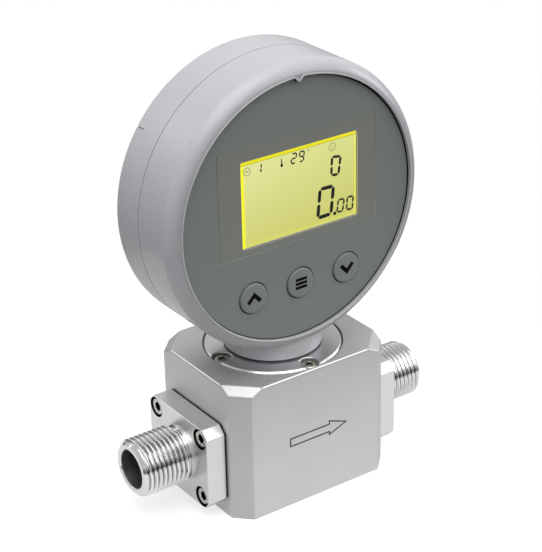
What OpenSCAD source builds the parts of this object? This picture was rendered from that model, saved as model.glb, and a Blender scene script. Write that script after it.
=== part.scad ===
// Thermal mass flow meter.
// A machined block carries the gas straight through, between two bolted fittings.
// A plug-in sensor reaches down into the bore from a cavity in the block's top.
// The round display head stands on a post whose foot is held down by a screwed ring,
// so the head can be turned to face the reader.
// X is the flow direction, -Y is the front and Z is up.
// The origin is the centre of the block's bottom face.

/* [Block] */
// Length of the block along the flow
block_l = 66; // [62:0.5:80]
// Width of the block from front to back
block_w = 52.2; // [51.8:0.2:60]
// Height of the block
block_h = 51.3; // [49:0.1:60]
// Leg of the upright corner chamfers
corner_c = 5.85; // [3:0.05:6.5]
// Run of each top corner bevel along the edges beside its chamfer
bevel_run = 4.85; // [2:0.05:6]
// Drop of each top corner bevel down its chamfer
bevel_drop = 2.45; // [1:0.05:4]
// Leg of the small chamfer along the straight top edges
edge_c = 0.4; // [0.2:0.1:0.8]

/* [Base holes] */
// Spacing of the tapped base holes along the flow
base_hole_dx = 40; // [34:0.5:42]
// Spacing of the tapped base holes across the flow
base_hole_dy = 36; // [34:0.5:40]
// Core radius of the tapped base holes
base_hole_r = 1.65; // [1.2:0.05:2]
// Depth of the tapped base holes
base_hole_depth = 8; // [5:0.5:10]

/* [Flow path] */
// Height of the flow axis as a share of the block's height
axis_share = 0.3957; // [0.38:0.0001:0.42]
// Radius of the gas bore
bore_r = 7.05; // [6.5:0.05:7.5]
// Radius of the recess that holds a screen in each end of the block
recess_r = 9.2; // [8.6:0.1:9.4]
// Thickness of a wire screen
screen_t = 0.8; // [0.6:0.1:1.2]
// Opening between the screen's wires
mesh_gap = 1.2; // [1:0.1:1.6]
// Width of a screen wire
mesh_wire = 0.5; // [0.4:0.05:0.7]
// Thickness of the flow straightener
straightener_t = 5.2; // [3:0.1:7]
// Width across the flats of a straightener cell
cell_w = 2.4; // [2:0.05:2.5]
// Wall between two straightener cells
cell_wall = 0.35; // [0.3:0.05:0.5]

/* [Fittings] */
// Width of a flange plate
plate_w = 36.4; // [35.8:0.1:40]
// Height of a flange plate
plate_h = 31.3; // [30.9:0.1:34]
// Thickness of a flange plate
plate_t = 7.25; // [6.5:0.05:9]
// Corner chamfer of a flange plate
plate_c = 2.9; // [1:0.05:3]
// Small chamfer round the outer face of a flange plate
plate_edge = 0.25; // [0.15:0.05:0.4]
// Length of the threaded spigot beyond its plate
spigot_l = 19.65; // [15:0.05:25]
// Outside radius of the spigot's pipe thread
thread_r = 10.4775; // [10:0.0025:11]
// Length of the thread relief beside the plate
relief_l = 1.5; // [1:0.1:2]
// Depth of the thread relief
relief_d = 1.2; // [0.8:0.05:1.4]
// Length of the land between the plate and the relief
land_l = 0.7; // [0.5:0.1:1]
// Drop of the land below the thread's crest
land_d = 0.45; // [0.2:0.05:0.7]
// Length of the lead-in chamfer at the spigot's mouth
mouth_l = 1.7; // [1:0.1:2.5]
// Radius of the flat rim at the spigot's mouth
rim_r = 8.8; // [8.3:0.05:9.4]
// Thickness of a flange gasket
gasket_t = 0.65; // [0.5:0.05:1]
// How far a gasket's outline stays inside its plate
gasket_inset = 0.45; // [0.2:0.05:0.6]

/* [Flange screws] */
// Distance between a plate's screws across the flow
flange_dy = 27.6; // [27:0.1:28]
// Distance between a plate's screws up and down
flange_dz = 23; // [22.6:0.1:23.2]
// Shank radius of a flange screw
flange_screw_r = 2; // [1.8:0.05:2.2]
// Shank length of a flange screw
flange_screw_l = 12; // [10:0.5:14]
// Head radius of a flange screw
flange_head_r = 3.5; // [3.2:0.05:3.6]
// Head height of a flange screw
flange_head_h = 3.9; // [3.5:0.1:4]
// Width across the flats of a flange screw's socket
flange_key = 3; // [2.5:0.1:3.2]
// Play between a flange screw's head and its counterbore
flange_head_play = 0.3; // [0.2:0.05:0.4]
// Depth of a flange screw's head below the plate's face
flange_head_sink = 0.35; // [0.2:0.05:0.6]

/* [Sensor] */
// Metal left between the bore and the sensor cavity as a share of the block's height
roof_share = 0.1267; // [0.118:0.0001:0.13]
// Radius of the sensor cavity
cavity_r = 13.5; // [13:0.1:14.5]
// Radius of the sensor holder's plug
plug_r = 5.9; // [5.4:0.05:6]
// Length of the sensor holder's flange
holder_l = 22; // [21:0.1:23]
// Width of the sensor holder's flange
holder_w = 12; // [11.5:0.1:12.5]
// Thickness of the sensor holder's flange
holder_t = 2.5; // [2:0.1:3]
// Distance between the sensor holder's screws
holder_dx = 17; // [16:0.1:17.4]
// Height of the spacers under the sensor board as a share of the room left by the rest
spacer_share = 0.412; // [0.3:0.001:0.49]
// Radius of the spacers under the sensor board
spacer_r = 2.3; // [2:0.05:2.5]
// Width of the sensor blade along the flow
blade_w = 5; // [4:0.1:6]
// Thickness of the sensor blade
blade_t = 1.2; // [0.8:0.05:1.6]
// Depth of the sensor blade below the flow axis
blade_below = 2; // [1.5:0.1:3]
// Edge of the square sensor chip
chip_w = 2.4; // [1.8:0.1:3]
// Thickness of the sensor chip
chip_t = 0.5; // [0.4:0.05:0.8]
// Radius of the sensor board
sensor_board_r = 12; // [11.5:0.1:12.5]
// Width of the header on the sensor board
header_w = 8; // [7:0.1:9]
// Depth of the header on the sensor board
header_d = 6; // [5:0.1:7]
// Height of the header on the sensor board
header_h = 3.8; // [3:0.1:4]
// Shank radius of a sensor screw
sensor_screw_r = 1.25; // [1:0.05:1.4]
// Depth of a sensor screw in the block
sensor_bite = 3.9; // [3:0.1:5]
// Head radius of a sensor screw
sensor_head_r = 2.2; // [2:0.05:2.4]
// Head height of a sensor screw
sensor_head_h = 1.5; // [1.2:0.1:1.8]

/* [Neck] */
// Outside radius of the clamping ring
ring_r = 24.5; // [24:0.05:24.6]
// Thickness of the clamping ring
ring_t = 4.3; // [4:0.1:5]
// Height of the clamping ring above the block's top
ring_proud = 0.3; // [0:0.05:0.8]
// Gap between the clamping ring and its seat in the block
ring_gap = 0.4; // [0.2:0.05:0.5]
// Bevel on the clamping ring's outer edge
ring_bevel = 0.65; // [0.3:0.05:1]
// Radius of the circle on which the ring's screws stand
ring_screw_at = 21.7; // [21.5:0.05:21.8]
// Shank radius of a ring screw
ring_screw_r = 1.5; // [1.25:0.05:1.6]
// Shank length of a ring screw
ring_screw_l = 9; // [7:0.5:10]
// Head radius of a ring screw
ring_head_r = 2.75; // [2.5:0.05:2.9]
// Head height of a ring screw
ring_head_h = 1.65; // [1.3:0.05:1.9]
// Radius of a ring screw's pocket
pocket_r = 3.55; // [3.3:0.05:3.7]
// Depth of a ring screw's pocket
pocket_depth = 2.2; // [2:0.05:2.4]
// Radius of the post's foot
foot_r = 18; // [17.5:0.05:18.2]
// Thickness of the post's foot
foot_t = 2.8; // [2.4:0.1:3.2]
// How far the stop lug stands out of the foot
lug_out = 1.3; // [1:0.05:1.4]
// Width of the stop lug and of the stop in the block
lug_w = 4.4; // [3.5:0.1:5]
// Radius of the post's journal in the ring
journal_r = 15; // [14.6:0.05:15.4]
// Radius of the post's stem in the neck
stem_r = 12; // [11.5:0.05:12.2]
// Radius of the wire passage through the post
passage_r = 6; // [5:0.1:7]
// Running clearance between the post, the ring and the block
running_gap = 0.1; // [0.05:0.01:0.1]
// Side clearance of the foot and its lug in the block
foot_play = 0.2; // [0.15:0.05:0.3]
// Radius of the neck
neck_r = 17.4; // [16.8:0.05:17.8]
// Gap between the clamping ring and the neck
neck_gap = 0.7; // [0.5:0.05:1]
// Width across the flats of the post's lock
lock_w = 19; // [18:0.1:20]
// Height of the post's lock
lock_h = 2.6; // [2:0.1:3.2]
// Height of the lock above the neck's lower end
lock_up = 3; // [2:0.1:3.5]
// Thickness of a sealing ring's cord
seal_d = 1.5; // [1.2:0.05:1.8]
// Play of a sealing ring in its groove
seal_play = 0.05; // [0.03:0.01:0.08]

/* [Case] */
// Gap between the block's top and the lowest point of the head
head_clear = 5; // [4.5:0.1:8]
// Outside radius of the head
case_r = 51.5; // [51:0.1:54]
// Distance of the head's front lip from the post's axis
head_front = 18.4; // [18:0.1:20]
// Distance of the head's back from the post's axis
head_back = 15.2; // [15:0.1:18]
// Distance of the parting line behind the post's axis
seam_back = 1.2; // [0.8:0.1:1.6]
// Wall thickness of the case
wall = 2.5; // [2:0.1:2.8]
// Length of the front shoulder along the head's axis
shoulder_l = 5; // [4:0.1:5.5]
// Roundness of the front shoulder, from 1 for a bevel to 2 for an ellipse
shoulder_power = 1.6; // [1:0.05:2]
// Width of the thin front lip
lip_w = 0.55; // [0.4:0.05:0.8]
// Rounding of the case's back edge
back_round = 1.5; // [1:0.1:2]
// Width of the parting groove
seam_w = 0.35; // [0.2:0.05:0.5]
// Depth of the parting groove
seam_d = 0.6; // [0.4:0.05:0.8]
// Length of the two pry slots at the back rim
slot_l = 4.7; // [3:0.1:6]
// Width of a pry slot
slot_w = 0.5; // [0.4:0.05:0.8]
// Depth of a pry slot
slot_d = 1; // [0.6:0.1:1.4]
// Radius of a case screw's boss
boss_r = 4.2; // [4:0.1:4.4]
// Shank radius of a case screw
case_screw_r = 1.5; // [1.25:0.05:1.6]
// Shank length of a case screw
case_screw_l = 20; // [17:0.5:22]
// Head radius of a case screw
case_head_r = 2.75; // [2.5:0.05:2.9]
// Head height of a case screw
case_head_h = 2; // [1.6:0.1:2.2]
// Depth of a case screw's head below the back
case_head_sink = 0.6; // [0.3:0.1:1]
// Thickness of the case seal's square cord
case_seal_w = 1; // [0.8:0.05:1.1]

/* [Face] */
// Width of the case's rim outside the opening for the face panel
rim_w = 4.8; // [4.7:0.1:5.5]
// Depth of the face panel below the lip
panel_recess = 1.2; // [0.8:0.05:1.6]
// Thickness of the face panel
panel_t = 1.5; // [1.2:0.1:1.8]
// Gap round the face panel
panel_gap = 0.15; // [0.1:0.05:0.25]
// Width of the locating tab at twelve o'clock
tab_w = 3.8; // [3:0.1:5]
// Depth of the locating tab at twelve o'clock
tab_d = 1.85; // [1.2:0.05:2.5]
// Distance of the display window's ends from the edge of the face panel
window_side = 14.7; // [14.5:0.1:16]
// Height of the display window
window_h = 38; // [37:0.1:39]
// Thickness of the display window
window_t = 1; // [0.8:0.05:1.1]
// Height of the display window's centre above the head's centre
window_up = 8; // [7.5:0.1:8.5]
// Width of the window's printed border left and right of the viewing area
border_w = 8.25; // [7:0.05:9]
// Width of the window's printed border above and below the viewing area
border_h = 3.75; // [3:0.05:4.5]
// Height of the viewing area's centre above the head's centre
view_up = 7.15; // [6.8:0.05:7.5]
// How far the display module reaches beyond the viewing area left and right
lcd_lap_w = 5.25; // [4:0.05:6.5]
// How far the display module reaches beyond the viewing area above and below
lcd_lap_h = 2.75; // [2:0.05:3]
// Thickness of the display module
lcd_t = 2.8; // [2.4:0.1:3]
// How far the backlight stays inside the display module
light_inset = 1.5; // [1:0.1:2]
// Thickness of the backlight
light_t = 3.4; // [3:0.1:4]

/* [Buttons] */
// Distance between two buttons as a share of the face panel's radius
button_pitch_share = 0.4154; // [0.39:0.0001:0.43]
// Distance of the buttons below the head's centre as a share of the face panel's radius
button_low_share = 0.5824; // [0.57:0.0001:0.6]
// Radius of a button's hole in the face panel
button_hole_r = 5.72; // [5.4:0.02:6]
// Gap round a button
button_gap = 0.27; // [0.2:0.01:0.35]
// Height of a button's cap above the face panel
button_proud = 0.7; // [0.5:0.05:1]
// How far a button's flange reaches behind the face panel
button_lap = 0.9; // [0.7:0.05:1]
// Thickness of a button's flange
button_flange_t = 1; // [0.8:0.05:1.1]
// Radius of a button's stem
button_stem_r = 1.6; // [1.4:0.1:2]
// Travel of a button
button_travel = 0.5; // [0.3:0.05:0.6]
// Clearance behind the face panel and before the switch
button_play = 0.1; // [0.05:0.05:0.15]
// Play between a button's flange and the hole in the case
button_side_play = 0.35; // [0.3:0.05:0.5]
// Edge of a square push switch
switch_w = 6; // [5.6:0.1:6.4]
// Height of a push switch's body
switch_h = 3; // [2.6:0.1:3.1]
// Radius of a push switch's plunger
plunger_r = 1.5; // [1.2:0.1:1.7]
// Height of a push switch's plunger
plunger_h = 0.9; // [0.7:0.05:1]

/* [Electronics] */
// Thickness of a circuit board
board_t = 1.6; // [1.4:0.1:1.8]
// Room between the main board's edge and the case's wall
main_board_room = 8.2; // [8:0.1:9]
// Distance of the main board's screws inside its edge
main_screw_in = 2.6; // [2.4:0.05:3]
// Radius of a board post
board_post_r = 2.6; // [2.4:0.05:2.8]
// Shank radius of a board screw
board_screw_r = 1.25; // [1:0.05:1.3]
// Shank length of a board screw
board_screw_l = 4.4; // [4:0.1:4.6]
// Head radius of a board screw
board_head_r = 2.2; // [2:0.05:2.4]
// Head height of a board screw
board_head_h = 1.5; // [1.2:0.1:1.8]
// Width of the lead's socket on the main board
socket_w = 9; // [8:0.1:10]
// Height of the lead's socket
socket_h = 7; // [6:0.1:8]
// How far the lead's socket reaches behind the post's axis
socket_back = 3.2; // [2.8:0.1:3.6]
// Room between the lead's socket and the case's wall
socket_room = 9; // [8.6:0.1:10]
// Radius of the wire bundle
lead_r = 2; // [1.6:0.1:2.4]
// Room between the interface board's edge and the case's wall
io_board_room = 16; // [15:0.1:17]
// Distance of the interface board's centre below the head's centre
io_board_down = 2; // [1:0.1:3]
// Distance of the interface board's screws inside its edge
io_screw_in = 4.5; // [4:0.1:5]
// Height of the interface board's standoffs
standoff_h = 4.7; // [4.5:0.1:5]
// Width of the header between the two boards
link_w = 20; // [16:0.1:24]
// Depth of the header between the two boards
link_d = 5; // [4:0.1:6]
// Height of the header between the two boards above the head's centre
link_up = 14; // [10:0.1:18]

/* [Connector] */
// Distance of the cable connector below the head's centre
connector_down = 24; // [23:0.1:25]
// Outside radius of the cable connector's thread
connector_r = 6; // [5.8:0.05:6.2]
// Length of the cable connector's thread outside its collar
connector_l = 8.5; // [7:0.1:10]
// Radius of the cable connector's collar
collar_r = 9; // [8.5:0.1:9.5]
// Thickness of the cable connector's collar
collar_t = 2; // [1.5:0.1:2.5]
// Radius of the cable connector's contact block
insert_r = 4.2; // [4:0.05:4.4]
// Depth of the contact block below the connector's mouth
insert_sink = 0.8; // [0.5:0.1:1.2]
// Radius of the circle on which the contacts stand
contact_at = 2.5; // [2.3:0.05:2.6]
// Radius of a contact
contact_r = 0.5; // [0.4:0.05:0.6]
// Depth of a contact's socket
contact_depth = 5; // [4:0.1:6]
// Width across the flats of the connector's nut
nut_w = 15; // [14.5:0.1:16]
// Thickness of the connector's nut
nut_t = 2.5; // [2:0.1:2.8]

/* [Hidden] */

$fn = 96;
// One overrun for every cut
over = 0.5;
// Play of pieces that are located by a close fit
fit = 0.05;
// Play of a screw's shank in a clearance hole
screw_play = 0.2;

// Depth of a flange screw's counterbore, and the screw's reach into the block
head_floor = flange_head_h + flange_head_sink;
flange_reach = flange_screw_l - (plate_t - head_floor) - gasket_t;

// Heights in the block, from the bore up to the ring
axis_h = block_h * axis_share;
roof_t = block_h * roof_share;
cavity_z = axis_h + bore_r + roof_t;
ring_seat_z = block_h + ring_proud - ring_t;
ring_top_z = block_h + ring_proud;
foot_seat_z = ring_seat_z - foot_t - 2 * running_gap;
foot_z = foot_seat_z + running_gap;
neck_z = ring_top_z + neck_gap;
lug_r = foot_r + lug_out;
foot_pocket_r = lug_r + foot_play;
stop_r = foot_r + foot_play;
ring_bore_r = journal_r + running_gap;

// Heights on the sensor
spacer_z = cavity_z + holder_t;
spacer_h = (foot_seat_z - spacer_z - board_t - sensor_head_h) * spacer_share;
sensor_screw_l = holder_t + spacer_h + board_t + sensor_bite;
sensor_board_z = spacer_z + spacer_h;
header_z = sensor_board_z + board_t;
lead_z = header_z + header_h;
plug_hole_r = plug_r + fit;

// Depths in the head along its own axis, counted towards the reader
seam_z = -seam_back;
back_z = -head_back;
case_in_r = case_r - wall;
panel_r = case_r - rim_w;
lip_r = panel_r + lip_w;
head_z = block_h + head_clear + case_r;
shoulder_z = head_front - shoulder_l;
panel_z = head_front - panel_recess;
panel_back_z = panel_z - panel_t;
bulkhead_z = panel_back_z - wall;
light_z = panel_back_z - lcd_t;
board_z = light_z - light_t;
back_wall_z = back_z + wall;
io_back_z = back_wall_z + standoff_h;
io_front_z = io_back_z + board_t;
seal_mid_r = (case_r - seam_d + case_in_r) / 2;
boss_at = case_in_r - boss_r + wall / 4;
case_head_z = back_z + case_head_sink + case_head_h;
case_head_play = flange_head_play;
main_board_r = case_in_r - main_board_room;
main_screw_at = main_board_r - main_screw_in;
io_board_r = case_in_r - io_board_room;
io_screw_at = io_board_r - io_screw_in;
socket_down = case_in_r - socket_room;
neck_top_z = head_z - lip_r;
neck_join_z = head_z - sqrt(pow(case_r, 2) - pow(neck_r, 2));
stem_top_z = head_z - sqrt(pow(case_in_r, 2) - pow(neck_r, 2)) + seam_d;
lock_z = neck_z + lock_up;

// Sizes on the face
window_w = 2 * (panel_r - window_side);
view_w = window_w - 2 * border_w;
view_h = window_h - 2 * border_h;
lcd_w = view_w + 2 * lcd_lap_w;
lcd_h = view_h + 2 * lcd_lap_h;
button_pitch = panel_r * button_pitch_share;
button_low = panel_r * button_low_share;

// Places that are angles, in degrees
RING_SCREW_ANGLES = [0, 90, 180, 270];
CASE_SCREW_ANGLES = [45, 135, 225, 315];
BOARD_POST_ANGLES = [18, 162, 214, 326];
SLOT_ANGLES = [35.7, 144.3];
CONTACT_ANGLES = [45, 135, 225, 315];
SHOULDER_STEPS = 14;
BACK_STEPS = 6;

// Outline of a rectangle with chamfered corners
function chamfered(w, h, c) = [
    [w / 2, c - h / 2], [w / 2, h / 2 - c], [w / 2 - c, h / 2], [c - w / 2, h / 2],
    [-w / 2, h / 2 - c], [-w / 2, c - h / 2], [c - w / 2, -h / 2], [w / 2 - c, -h / 2]];

// Prism on that outline, with a small chamfer round its upper face
module chamfered_prism(w, h, t, c, edge) {
    points = chamfered(w, h, c);
    difference() {
        linear_extrude(t) polygon(points);
        for (i = [0 : len(points) - 1]) {
            a = points[i];
            b = points[(i + 1) % len(points)];
            translate([(a[0] + b[0]) / 2, (a[1] + b[1]) / 2, t])
                rotate([0, 0, atan2(b[1] - a[1], b[0] - a[0])])
                    rotate([45, 0, 0])
                        cube([norm(b - a) + 2 * edge, edge * sqrt(2), edge * sqrt(2)], center = true);
        }
    }
}

// Copies at the given angles on a circle
module at_angles(angles, r) {
    for (a = angles) rotate([0, 0, a]) translate([r, 0, 0]) children();
}

// Copies at the four corners of a rectangle
module at_corners(dx, dy) {
    for (sx = [-1, 1], sy = [-1, 1]) translate([sx * dx / 2, sy * dy / 2, 0]) children();
}

// The head's own frame: x to the right, y up, z towards the reader
module on_head() {
    translate([0, 0, head_z]) rotate([90, 0, 0]) children();
}

// A flange plate's own frame: z points out of the block's end, y up
module at_end(side) {
    translate([side * block_l / 2, 0, axis_h]) rotate([90, 0, side * 90]) children();
}

// Screw with its shank down along -z and its head on z = 0
module screw(shank_r, shank_l, head_r, head_h) {
    translate([0, 0, -shank_l]) cylinder(r = shank_r, h = shank_l);
    cylinder(r = head_r, h = head_h);
}

// Screw with a hexagon socket
module socket_screw(shank_r, shank_l, head_r, head_h, key) {
    difference() {
        screw(shank_r, shank_l, head_r, head_h);
        translate([0, 0, head_h / 2]) cylinder(r = key / sqrt(3), h = head_h, $fn = 6);
    }
}

// Screw with a cross recess
module cross_screw(shank_r, shank_l, head_r, head_h) {
    difference() {
        screw(shank_r, shank_l, head_r, head_h);
        for (a = [0, 90]) rotate([0, 0, a]) translate([0, 0, head_h])
            cube([head_r * 1.2, head_r / 3.5, head_h], center = true);
    }
}

// Radial key from radius a to radius b along +x
module radial_key(a, b, w, h) {
    intersection() {
        difference() {
            cylinder(r = b, h = h);
            translate([0, 0, -over]) cylinder(r = a, h = h + 2 * over);
        }
        translate([0, -w / 2, -over]) cube([b + over, w, h + 2 * over]);
    }
}

// Sealing ring of round cord
module cord_ring(mid_r, cord_r) {
    rotate_extrude() translate([mid_r, 0]) circle(r = cord_r, $fn = 32);
}

// Cut for one top corner bevel, for the corner in the first quadrant
module corner_bevel() {
    across = (block_l + block_w) / 2 - corner_c - bevel_run;
    tilt = atan2(bevel_drop, bevel_run / sqrt(2));
    long = 4 * corner_c + 4 * bevel_run;
    translate([across / 2 + (block_l - block_w) / 4, across / 2 - (block_l - block_w) / 4, block_h])
        rotate([0, 0, 45]) rotate([0, tilt, 0])
            translate([-corner_c, -long / 2, 0]) cube([corner_c + long, long, long]);
}

// Space for the post's foot, with the stop left standing at the back
module foot_pocket() {
    difference() {
        cylinder(r = foot_pocket_r, h = ring_seat_z - foot_seat_z + over);
        rotate([0, 0, 90]) translate([0, 0, -over])
            radial_key(stop_r, foot_pocket_r + over, lug_w, ring_seat_z - foot_seat_z + over);
    }
}

module manifold_block() {
    color("silver") difference() {
        chamfered_prism(block_l, block_w, block_h, corner_c, edge_c);
        for (mx = [0, 1], my = [0, 1]) mirror([mx, 0, 0]) mirror([0, my, 0]) corner_bevel();
        translate([-block_l / 2 - over, 0, axis_h]) rotate([0, 90, 0])
            cylinder(r = bore_r, h = block_l + 2 * over);
        at_end(-1) translate([0, 0, -screen_t - straightener_t])
            cylinder(r = recess_r, h = screen_t + straightener_t + over);
        at_end(1) translate([0, 0, -screen_t]) cylinder(r = recess_r, h = screen_t + over);
        for (side = [-1, 1]) at_end(side) at_corners(flange_dy, flange_dz)
            translate([0, 0, -flange_reach - over])
                cylinder(r = flange_screw_r + fit, h = flange_reach + 2 * over);
        translate([0, 0, ring_seat_z]) cylinder(r = ring_r + ring_gap, h = ring_t + over);
        translate([0, 0, foot_seat_z]) foot_pocket();
        translate([0, 0, cavity_z]) cylinder(r = cavity_r, h = foot_seat_z - cavity_z + over);
        translate([0, 0, axis_h]) cylinder(r = plug_hole_r, h = cavity_z - axis_h + over);
        for (s = [-1, 1]) translate([s * holder_dx / 2, 0, header_z - sensor_screw_l - over])
            cylinder(r = sensor_screw_r + fit, h = sensor_screw_l);
        at_angles(RING_SCREW_ANGLES, ring_screw_at)
            translate([0, 0, ring_top_z - pocket_depth - ring_screw_l - over])
                cylinder(r = ring_screw_r + fit, h = ring_screw_l);
        at_corners(base_hole_dx, base_hole_dy) translate([0, 0, -over])
            cylinder(r = base_hole_r, h = base_hole_depth + over);
    }
}

// Flange plate with its threaded spigot, standing on its gasket
module fitting() {
    plate_face = gasket_t + plate_t;
    relief_z = plate_face + land_l;
    thread_z = relief_z + relief_l;
    end_z = plate_face + spigot_l;
    color("gainsboro") difference() {
        union() {
            translate([0, 0, gasket_t])
                chamfered_prism(plate_w, plate_h, plate_t, plate_c, plate_edge);
            rotate_extrude() polygon([
                [0, plate_face - over], [thread_r - land_d, plate_face - over],
                [thread_r - land_d, relief_z], [thread_r - relief_d, relief_z],
                [thread_r - relief_d, thread_z - relief_d / 2], [thread_r, thread_z],
                [thread_r, end_z - mouth_l], [rim_r, end_z], [0, end_z]]);
        }
        cylinder(r = bore_r, h = end_z + over);
        at_corners(flange_dy, flange_dz) {
            cylinder(r = flange_screw_r + screw_play, h = plate_face + over);
            translate([0, 0, plate_face - head_floor])
                cylinder(r = flange_head_r + flange_head_play, h = head_floor + over);
        }
    }
}

module inlet_fitting() {
    at_end(-1) fitting();
}

module outlet_fitting() {
    at_end(1) fitting();
}

// Flat gasket between a plate and the block
module gasket() {
    color("black") difference() {
        linear_extrude(gasket_t)
            polygon(chamfered(plate_w - 2 * gasket_inset, plate_h - 2 * gasket_inset, plate_c));
        translate([0, 0, -over]) cylinder(r = bore_r + gasket_inset, h = gasket_t + 2 * over);
        at_corners(flange_dy, flange_dz) translate([0, 0, -over])
            cylinder(r = flange_screw_r + screw_play, h = gasket_t + 2 * over);
    }
}

module inlet_gasket() {
    at_end(-1) gasket();
}

module outlet_gasket() {
    at_end(1) gasket();
}

module flange_screws() {
    color("silver") at_corners(flange_dy, flange_dz)
        translate([0, 0, gasket_t + plate_t - head_floor])
            socket_screw(flange_screw_r, flange_screw_l, flange_head_r, flange_head_h, flange_key);
}

module inlet_flange_screws() {
    at_end(-1) flange_screws();
}

module outlet_flange_screws() {
    at_end(1) flange_screws();
}

// Round screen with square openings inside the bore
module screen() {
    step = mesh_gap + mesh_wire;
    rows = floor(bore_r / step);
    color("lightgray") difference() {
        cylinder(r = recess_r - fit, h = screen_t);
        for (i = [-rows : rows], j = [-rows : rows])
            if (norm([i * step, j * step]) + mesh_gap / sqrt(2) < bore_r)
                translate([i * step, j * step, screen_t / 2])
                    cube([mesh_gap, mesh_gap, screen_t + 2 * over], center = true);
    }
}

module inlet_screen() {
    at_end(-1) translate([0, 0, -screen_t]) screen();
}

module outlet_screen() {
    at_end(1) translate([0, 0, -screen_t]) screen();
}

// Honeycomb that calms the gas before the sensor
module flow_straightener() {
    step = cell_w + cell_wall;
    color("white") at_end(-1) translate([0, 0, -screen_t - straightener_t]) difference() {
        cylinder(r = recess_r - fit, h = straightener_t);
        for (i = [-2 : 2], j = [-2 : 2]) {
            x = (i + j / 2) * step;
            y = j * step * sqrt(3) / 2;
            if (norm([x, y]) + cell_w / sqrt(3) < bore_r)
                translate([x, y, -over])
                    rotate([0, 0, 30]) cylinder(r = cell_w / sqrt(3), h = straightener_t + 2 * over, $fn = 6);
        }
    }
}

// Plug, flange, spacers and blade in one moulding
module sensor_holder() {
    plug_z = axis_h + bore_r;
    groove_z = plug_z + roof_t / 2;
    color("dimgray") difference() {
        union() {
            translate([0, 0, plug_z]) cylinder(r = plug_r, h = roof_t + over);
            translate([-holder_l / 2, -holder_w / 2, cavity_z]) cube([holder_l, holder_w, holder_t]);
            for (s = [-1, 1]) translate([s * holder_dx / 2, 0, cavity_z])
                cylinder(r = spacer_r, h = holder_t + spacer_h);
            translate([-blade_w / 2, -blade_t / 2, axis_h - blade_below])
                cube([blade_w, blade_t, bore_r + blade_below + over]);
        }
        translate([0, 0, groove_z - seal_d / 2 - seal_play]) difference() {
            cylinder(r = plug_r + over, h = seal_d + 2 * seal_play);
            translate([0, 0, -over])
                cylinder(r = plug_hole_r - seal_d - seal_play, h = seal_d + 2 * seal_play + 2 * over);
        }
        for (s = [-1, 1]) translate([s * holder_dx / 2, 0, cavity_z - over])
            cylinder(r = sensor_screw_r + screw_play, h = holder_t + spacer_h + 2 * over);
    }
}

module sensor_seal() {
    color("black") translate([0, 0, axis_h + bore_r + roof_t / 2])
        cord_ring(plug_hole_r - seal_play - seal_d / 2, seal_d / 2 - seal_play / 2);
}

module sensor_chip() {
    color("darkslategray") translate([-chip_w / 2, -blade_t / 2 - chip_t, axis_h - chip_w / 2])
        cube([chip_w, chip_t, chip_w]);
}

module sensor_board() {
    color("green") difference() {
        translate([0, 0, sensor_board_z]) cylinder(r = sensor_board_r, h = board_t);
        for (s = [-1, 1]) translate([s * holder_dx / 2, 0, sensor_board_z - over])
            cylinder(r = sensor_screw_r + screw_play, h = board_t + 2 * over);
    }
}

module sensor_header() {
    color("ivory") translate([-header_w / 2, -header_d / 2, header_z])
        cube([header_w, header_d, header_h]);
}

module sensor_screws() {
    color("silver") for (s = [-1, 1]) translate([s * holder_dx / 2, 0, header_z])
        cross_screw(sensor_screw_r, sensor_screw_l, sensor_head_r, sensor_head_h);
}

module neck_ring() {
    color("silver") translate([0, 0, ring_seat_z]) difference() {
        rotate_extrude() polygon([
            [ring_bore_r, 0], [ring_r, 0], [ring_r, ring_t - ring_bevel],
            [ring_r - ring_bevel, ring_t], [ring_bore_r, ring_t]]);
        at_angles(RING_SCREW_ANGLES, ring_screw_at) {
            translate([0, 0, -over]) cylinder(r = ring_screw_r + screw_play, h = ring_t + 2 * over);
            translate([0, 0, ring_t - pocket_depth]) cylinder(r = pocket_r, h = pocket_depth + over);
        }
    }
}

module neck_ring_screws() {
    color("gray") at_angles(RING_SCREW_ANGLES, ring_screw_at)
        translate([0, 0, ring_top_z - pocket_depth])
            cross_screw(ring_screw_r, ring_screw_l, ring_head_r, ring_head_h);
}

// Section of the post's lock: the stem with four flats
module lock_section(play) {
    intersection() {
        circle(r = stem_r + play);
        square(lock_w + 2 * play, center = true);
    }
}

// Post that carries the head, with its foot, journal, stem and lock
module swivel_post() {
    seal_z = ring_seat_z + ring_t / 2;
    color("lightslategray") difference() {
        union() {
            translate([0, 0, foot_z]) cylinder(r = foot_r, h = foot_t);
            translate([0, 0, foot_z]) rotate([0, 0, -90]) radial_key(stem_r, lug_r, lug_w, foot_t);
            translate([0, 0, foot_z]) cylinder(r = journal_r, h = neck_z - foot_z);
            translate([0, 0, foot_z]) cylinder(r = stem_r, h = lock_z - foot_z);
            translate([0, 0, lock_z - over]) linear_extrude(lock_h + 2 * over) lock_section(0);
            translate([0, 0, lock_z + lock_h]) cylinder(r = stem_r, h = stem_top_z - lock_z - lock_h);
        }
        translate([0, 0, foot_z - over]) cylinder(r = passage_r, h = stem_top_z - foot_z + 2 * over);
        translate([0, 0, seal_z - seal_d / 2 - seal_play]) difference() {
            cylinder(r = journal_r + over, h = seal_d + 2 * seal_play);
            translate([0, 0, -over])
                cylinder(r = ring_bore_r - seal_d - seal_play, h = seal_d + 2 * seal_play + 2 * over);
        }
    }
}

module neck_seal() {
    color("black") translate([0, 0, ring_seat_z + ring_t / 2])
        cord_ring(ring_bore_r - seal_play - seal_d / 2, seal_d / 2 - seal_play / 2);
}

// Neck of both case halves, with the inner collar that grips the post
module neck_body() {
    translate([0, 0, neck_z]) cylinder(r = neck_r, h = neck_top_z - neck_z);
    translate([0, 0, neck_z]) cylinder(r = journal_r, h = stem_top_z - neck_z);
}

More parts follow.
